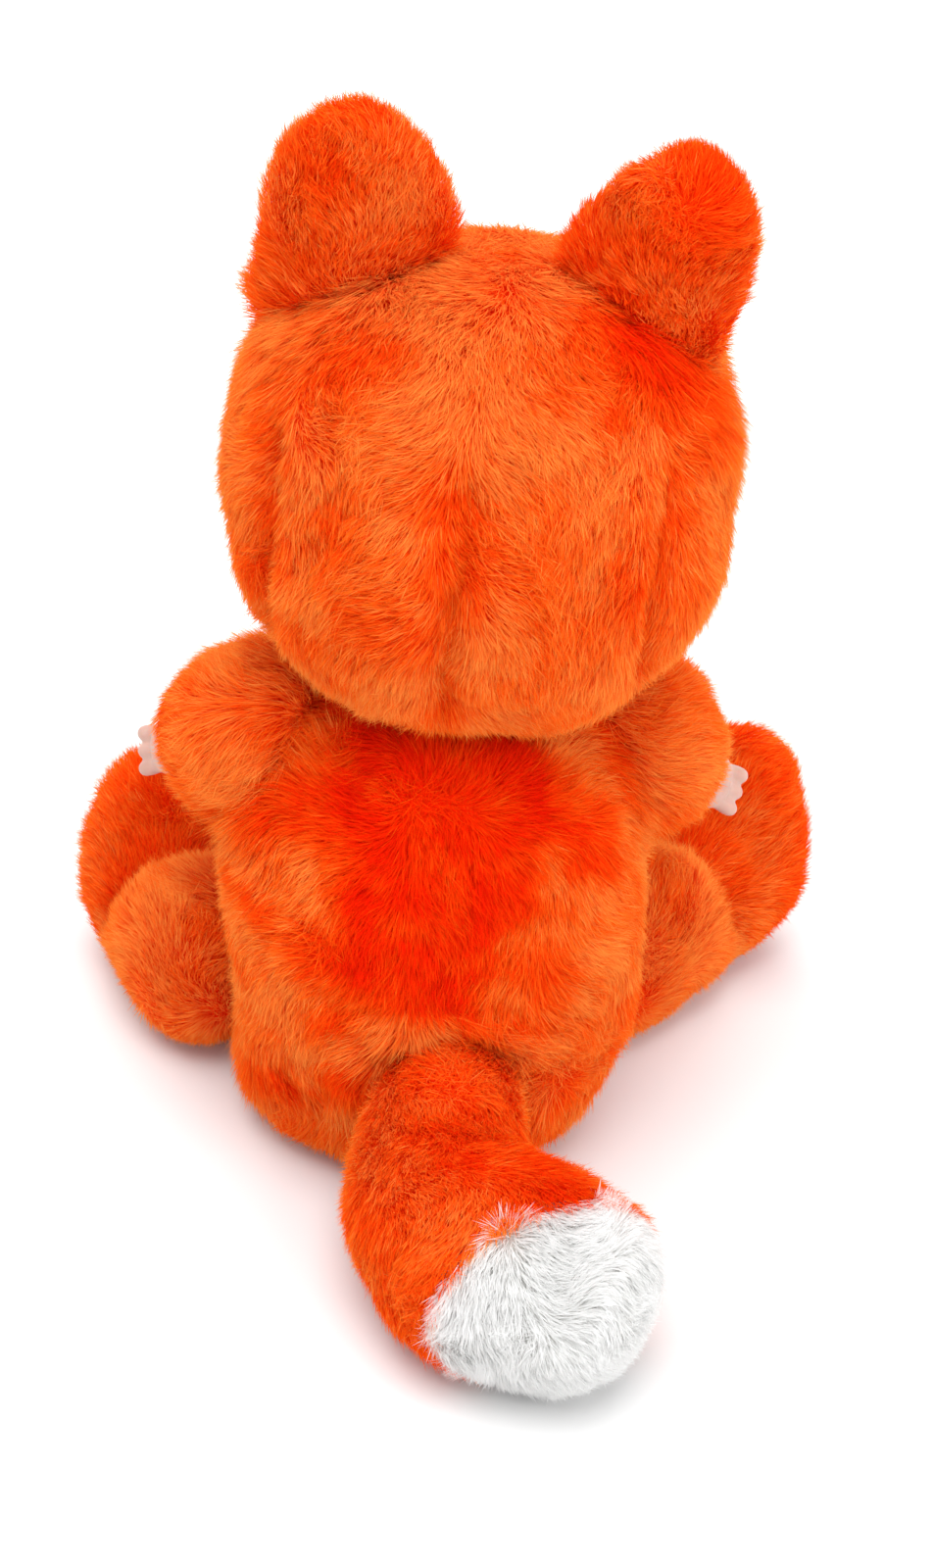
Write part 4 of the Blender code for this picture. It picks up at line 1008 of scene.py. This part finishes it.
def make_legs():
    for number, (name, side) in enumerate(SIDES.items()):
        body = f"leg_{name}"
        nodes = (f"leg_skin_{name}", f"leg_stuffing_{name}")
        yaw = LEG_YAWS[name]
        way = Vector((side * math.sin(yaw), -math.cos(yaw), 0))
        fold = way + UP * 0.35
        knee = Vector((side * THIGH[0], THIGH[1], 0.0187)) + way * KNEES[name]
        seams = [plane_seam(knee, fold, lambda p: fade(p[:, 2], 0.010, 0.018))]
        skin = stuffed(f"leg_{name}_plush", "leg", (*nodes, f"sole_pad_{name}"), seams)
        slimmer, longer, higher = LEG_CHANGES[name]
        points = arrays(skin.data)[0]
        aside = np.array((side * math.cos(yaw), math.sin(yaw), 0))
        step = points - on_side(THIGH, side)
        foot = grow(step @ np.array(way), 0.010, 0.045)
        outer = grow(step @ aside, 0.0, 0.016) * (1 - foot)
        points += np.array(way) * (longer * foot)[:, None] - aside * (slimmer * outer)[:, None]
        points[:, 2] += higher * foot * grow(points[:, 2], 0.018, 0.045)
        set_points(skin.data, points)
        dress(skin, body, ORANGE, nodes)
        across = UP.cross(way).normalized()
        sole = Oval(f"sole_pad_{name}", Matrix((across, UP, way)).transposed().to_4x4())
        patch(sole, f"sole_{name}_plush", skin, body, CREAM, f"sole_pad_{name}")
        roots, normals = roots_on(skin, 121 + number)
        in_sole = sole.share(roots) < 1
        hidden = (roots[:, 0] - side * HIP_X) * side < 0.001
        flow = comb(whorls=((on_side(LEG_WHORL, side), 1.0, 0.1),), along=((tuple(way), 0.35),),
                    swirl=0.60, swirl_size=0.011, seed=123 + number)

        def length(points):
            low = grow(-points[:, 2], -0.016, 0.0)
            return LENGTHS["leg"] - 0.0026 * low - 0.0014 * closeness(seams, points, 0.0050)

        def tone(points):
            foot = grow((points - np.array(knee)) @ np.array(fold), -0.002, 0.006)
            # painted shade: the pile deeper red in the knee's crease
            crease_shade = closeness(seams, points, 0.0060)
            return 0.88 - 0.24 * foot - 0.14 * crease_shade + 0.10 * waves(points, 0.012, 125)

        pile(f"leg_{name}_pile", body, ORANGE, roots, normals, ~in_sole & ~hidden,
             flow, length, 0.50, tone, 127 + number)
        pile(f"sole_{name}_pile", body, CREAM, roots, normals, in_sole,
             flow, LENGTHS["sole"], 0.45, 0.66, 129 + number)


def make_tail():
    nodes = ("tail_skin", "tail_stuffing", "tail_tip")
    skin = stuffed("tail_plush", "tail", nodes)
    seam = np.array(TAIL_SEAM)
    way = np.array(TAIL_SEAM_WAY)
    points = arrays(skin.data)[0]
    points -= way * (TIP_SHORTER * grow((points - seam) @ way, 0.0, 0.016))[:, None]
    set_points(skin.data, points)
    roots, normals = roots_on(skin, 141)
    white = (roots - seam) @ way > 0.0018
    tip = link("tail_tip_plush", skin.data.copy())
    halve(skin, way, seam)
    halve(tip, -way, seam)
    dress(skin, "tail", ORANGE, nodes[:2])
    dress(tip, "tail", WHITE, nodes[2:])
    ball = np.array(TAIL_BALL)
    hidden = buried(roots, bpy.data.objects["torso_plush"], 0.0030, ball - 0.018, ball + 0.018)

    def length(points):
        near = away(points, ball)
        over_ball = fade(near, 0.016, 0.028)
        return LENGTHS["tail"] - 0.0020 * grow(-points[:, 2], -0.008, 0.0) + 0.0006 * over_ball

    flow = comb(whorls=((ball, 1.0, 0.2),), swirl=0.60, swirl_size=0.011, seed=143)
    pile("tail_pile", "tail", ORANGE, roots, normals, ~white & ~hidden,
         flow, length, 0.40, lambda p: 0.62 + 0.12 * waves(p, 0.011, 145), 147)
    flow = comb(along=(((-0.3, 0.1, -0.5), 0.6),), swirl=0.95, swirl_size=0.007, seed=144)
    pile("tail_tip_pile", "tail", WHITE, roots, normals, white, flow, LENGTHS["tip"], 0.70, 0.62, 148)


def halve(obj, way, seam):
    """Keeps the part of a closed form before a plane, and closes it there."""
    bm = bmesh.new()
    bm.from_mesh(obj.data)
    cut = bmesh.ops.bisect_plane(
        bm, geom=[*bm.verts, *bm.edges, *bm.faces], plane_co=seam, plane_no=way, clear_outer=True)
    edges = [item for item in cut["geom_cut"] if isinstance(item, bmesh.types.BMEdge)]
    bmesh.ops.holes_fill(bm, edges=edges)
    bmesh.ops.recalc_face_normals(bm, faces=bm.faces)
    bm.to_mesh(obj.data)
    bm.free()


# Hands, eyes, nose and mouth


def moulded(name, node, body, material, voxel, rounds):
    """A smooth moulding round a faceted CAD solid."""
    mesh = form_mesh(name, (node,), voxel, rounds)
    mesh.shade_smooth()
    given(link(name, mesh), material, body, (node,))


def make_hands():
    look = Look("soft_vinyl", 0.42, Specular_IOR_Level=0.45, Subsurface_Weight=0.35, Subsurface_Scale=0.0015)
    look.shades(look.noise(260.0, 4.0), (0.52, 0.31, 0.25), (0.60, 0.38, 0.32))
    look.bump(look.noise(1400.0, 3.0), 0.15, 0.0001)
    for name in SIDES:
        moulded(f"hand_{name}_vinyl", f"hand_{name}", f"arm_{name}", look.material, 0.00042, 5)


def eye_look(name, middle):
    """A glossy safety eye: dark pupil, amber ring and dark rim round the eye's own middle."""
    look = Look(name, 0.10, Specular_IOR_Level=0.30, Coat_Weight=0.35, Coat_Roughness=0.02)
    apart = look.node("VectorMath", [(look.place(), 0)], operation="DISTANCE")
    apart.inputs[1].default_value = middle
    share = look.node("Math", [(apart.outputs["Value"], 0)], operation="DIVIDE")
    share.inputs[1].default_value = EYE_RADIUS
    flecks = look.noise(1500.0, 3.0)
    wobble = look.node("Math", [(flecks, 0), (share.outputs["Value"], 2)], operation="MULTIPLY_ADD")
    wobble.inputs[1].default_value = 0.10
    look.colour(look.ramp(wobble.outputs["Value"], (
        (0.52, (0.004, 0.004, 0.004)), (0.57, (0.11, 0.035, 0.006)), (0.74, (0.16, 0.055, 0.008)),
        (0.90, (0.05, 0.016, 0.004)), (0.96, (0.006, 0.005, 0.005)))))
    return look.material


def make_face(muzzle):
    for name, outward in EYE_WAYS.items():
        points = arrays(NODES[f"eye_{name}"].data)[0]
        front = Vector(points[np.argmax(points @ np.array(Vector(outward)))])
        moulded(f"eye_{name}_dome", f"eye_{name}", "head",
                eye_look(f"eye_{name}_glass", front), 0.0003, 4)
    leather = mottled_look("grained_black", (0.022, 0.018, 0.017), (0.010, 0.009, 0.009), 0.34, 2400.0, 0.5,
                           Coat_Weight=0.4, Coat_Roughness=0.25)
    moulded("nose_moulding", "nose", "head", leather, 0.0003, 4)
    thread = Look("black_thread", 0.7, Specular_IOR_Level=0.2)
    twist = thread.node("TexWave", [(thread.place(), "Vector")], Scale=900.0, Distortion=1.0, Detail=1.0)
    thread.shades(twist.outputs["Fac"], (0.012, 0.010, 0.010), (0.045, 0.035, 0.030), 0.2, 0.8)
    thread.bump(twist.outputs["Fac"], 0.5, 0.0002)
    stitch_mouth(muzzle, thread.material)


def stitch_mouth(muzzle, material):
    """Three stitched threads on the muzzle: down from the nose, and out to both sides."""
    turn = head_matrix().to_3x3()
    ahead = turn @ Vector((0, -1, 0))
    side_way = turn @ ACROSS
    nose = middle_of("nose")
    tree = tree_of(muzzle)
    lines = [[(0.0, -0.0030 - 0.0058 * k / 6) for k in range(7)]]
    for side in SIDES.values():
        bend = [-0.0088 - 0.0030 * math.sin(math.pi * 0.62 * k / 8) for k in range(9)]
        lines.append([(side * 0.0092 * k / 8, up) for k, up in enumerate(bend)])
    for number, line in enumerate(lines):
        places = []
        for out, up in line:
            start = nose + side_way * out + UP * up + ahead * 0.03
            hit, normal, _, _ = tree.ray_cast(start, -ahead)
            if hit is not None:
                places.append(hit + normal * STITCH_PROUD)
        given(tube(f"mouth_stitch_{number + 1}", places, STITCH_RADIUS), material, "head")


def tube(name, places, radius, sides=8):
    """A closed round thread along a line."""
    bm = bmesh.new()
    rings = []
    for k, place in enumerate(places):
        way = (places[min(k + 1, len(places) - 1)] - places[max(k - 1, 0)]).normalized()
        first = way.cross(Vector((0.3, 0.9, 0.2))).normalized()
        second = way.cross(first)
        turns = [2 * math.pi * j / sides for j in range(sides)]
        ways = [first * math.cos(t) + second * math.sin(t) for t in turns]
        rings.append([bm.verts.new(place + way * radius) for way in ways])
    for low, high in zip(rings, rings[1:]):
        for j in range(sides):
            bm.faces.new((low[j], low[(j + 1) % sides], high[(j + 1) % sides], high[j]))
    for ring in (rings[0], rings[-1]):
        bm.faces.new(ring)
    bmesh.ops.recalc_face_normals(bm, faces=bm.faces)
    return link_mesh(name, bm)


def paint_rest():
    """Node materials for the CAD solids that stay."""
    looks = {
        BLACK: mottled_look("glossy_black", (0.030, 0.022, 0.018), (0.010, 0.008, 0.008), 0.12,
                                      Coat_Weight=1.0, Coat_Roughness=0.04),
        "white_plastic": mottled_look("natural_plastic", (0.80, 0.79, 0.76), (0.70, 0.69, 0.66), 0.45),
        "fibre_fill": filling_look("polyester_fibre", (0.92, 0.92, 0.90), (0.74, 0.74, 0.72), 340.0),
        "bag_cloth": filling_look("bag_weave", (0.74, 0.71, 0.64), (0.58, 0.55, 0.49), 900.0),
        "vinyl": mottled_look("plain_vinyl", (0.84, 0.60, 0.52), (0.76, 0.50, 0.43), 0.45),
        **BACKINGS,
    }
    slots = [material["slot"] for material in frame["record"].get("materials", [])]
    for obj in NODES.values():
        for place in obj.material_slots:
            own = (place.material.name if place.material else "").split(".")[0]
            slot = own if own in looks else next((s for s in slots if s in own), "white_plastic")
            place.material = looks[slot]


# Stage


def make_stage():
    scene = bpy.context.scene
    scene.view_settings.view_transform = "Standard"
    scene.camera = make_camera()
    bm = bmesh.new()
    bmesh.ops.create_grid(bm, x_segments=2, y_segments=2, size=FLOOR_HALF)
    floor = link_mesh("floor", bm)
    look = Look("floor_white", 0.9, Specular_IOR_Level=0.1)
    look.shades(look.noise(3.0, 2.0), (0.795, 0.795, 0.795), (0.805, 0.805, 0.805))
    floor.data.materials.append(look.material)

    world = bpy.data.worlds.new("studio")
    world.use_nodes = True
    background = world.node_tree.nodes["Background"].inputs
    background["Color"].default_value = (1.0, 1.0, 1.0, 1)
    background["Strength"].default_value = WORLD_STRENGTH
    scene.world = world
    sun = bpy.data.lights.new("key", "SUN")
    sun.angle = math.radians(SUN_WIDTH)
    sun.energy = SUN_STRENGTH
    aim("key", sun, SUN_PLACE)
    for name, (place, size, energy) in LAMPS.items():
        light = bpy.data.lights.new(name, "AREA")
        light.shape = "DISK"
        light.size = size
        light.energy = energy
        aim(name, light, Vector(place))


def make_camera():
    azimuth, elevation, roll = (math.radians(a) for a in (CAMERA_AZIMUTH, CAMERA_ELEVATION, CAMERA_ROLL))
    back = Vector((math.sin(azimuth) * math.cos(elevation), -math.cos(azimuth) * math.cos(elevation),
                   math.sin(elevation)))
    level = (-back).cross(UP).normalized()
    upright = level.cross(-back)
    right = level * math.cos(roll) + upright * math.sin(roll)
    top = upright * math.cos(roll) - level * math.sin(roll)
    camera = bpy.data.cameras.new("camera")
    camera.sensor_width = SENSOR
    camera.lens = FOCAL_PIXELS * SENSOR / PHOTO_HEIGHT
    camera.clip_start = 0.01
    holder = link("camera", camera)
    place = Matrix.Translation(CAMERA_TARGET + back * CAMERA_DISTANCE + right * CAMERA_ASIDE)
    holder.matrix_world = place @ Matrix((right, top, back)).transposed().to_4x4()
    return holder


def aim(name, light, place):
    """Puts a light at a place, turned to the camera's target."""
    turn = (place - CAMERA_TARGET).to_track_quat("Z", "Y").to_matrix().to_4x4()
    link(name, light).matrix_world = Matrix.Translation(place) @ turn


make_stage()
make_torso()
muzzle_cloth = make_head()
make_face(muzzle_cloth)
make_arms()
make_legs()
make_tail()
make_hands()
paint_rest()
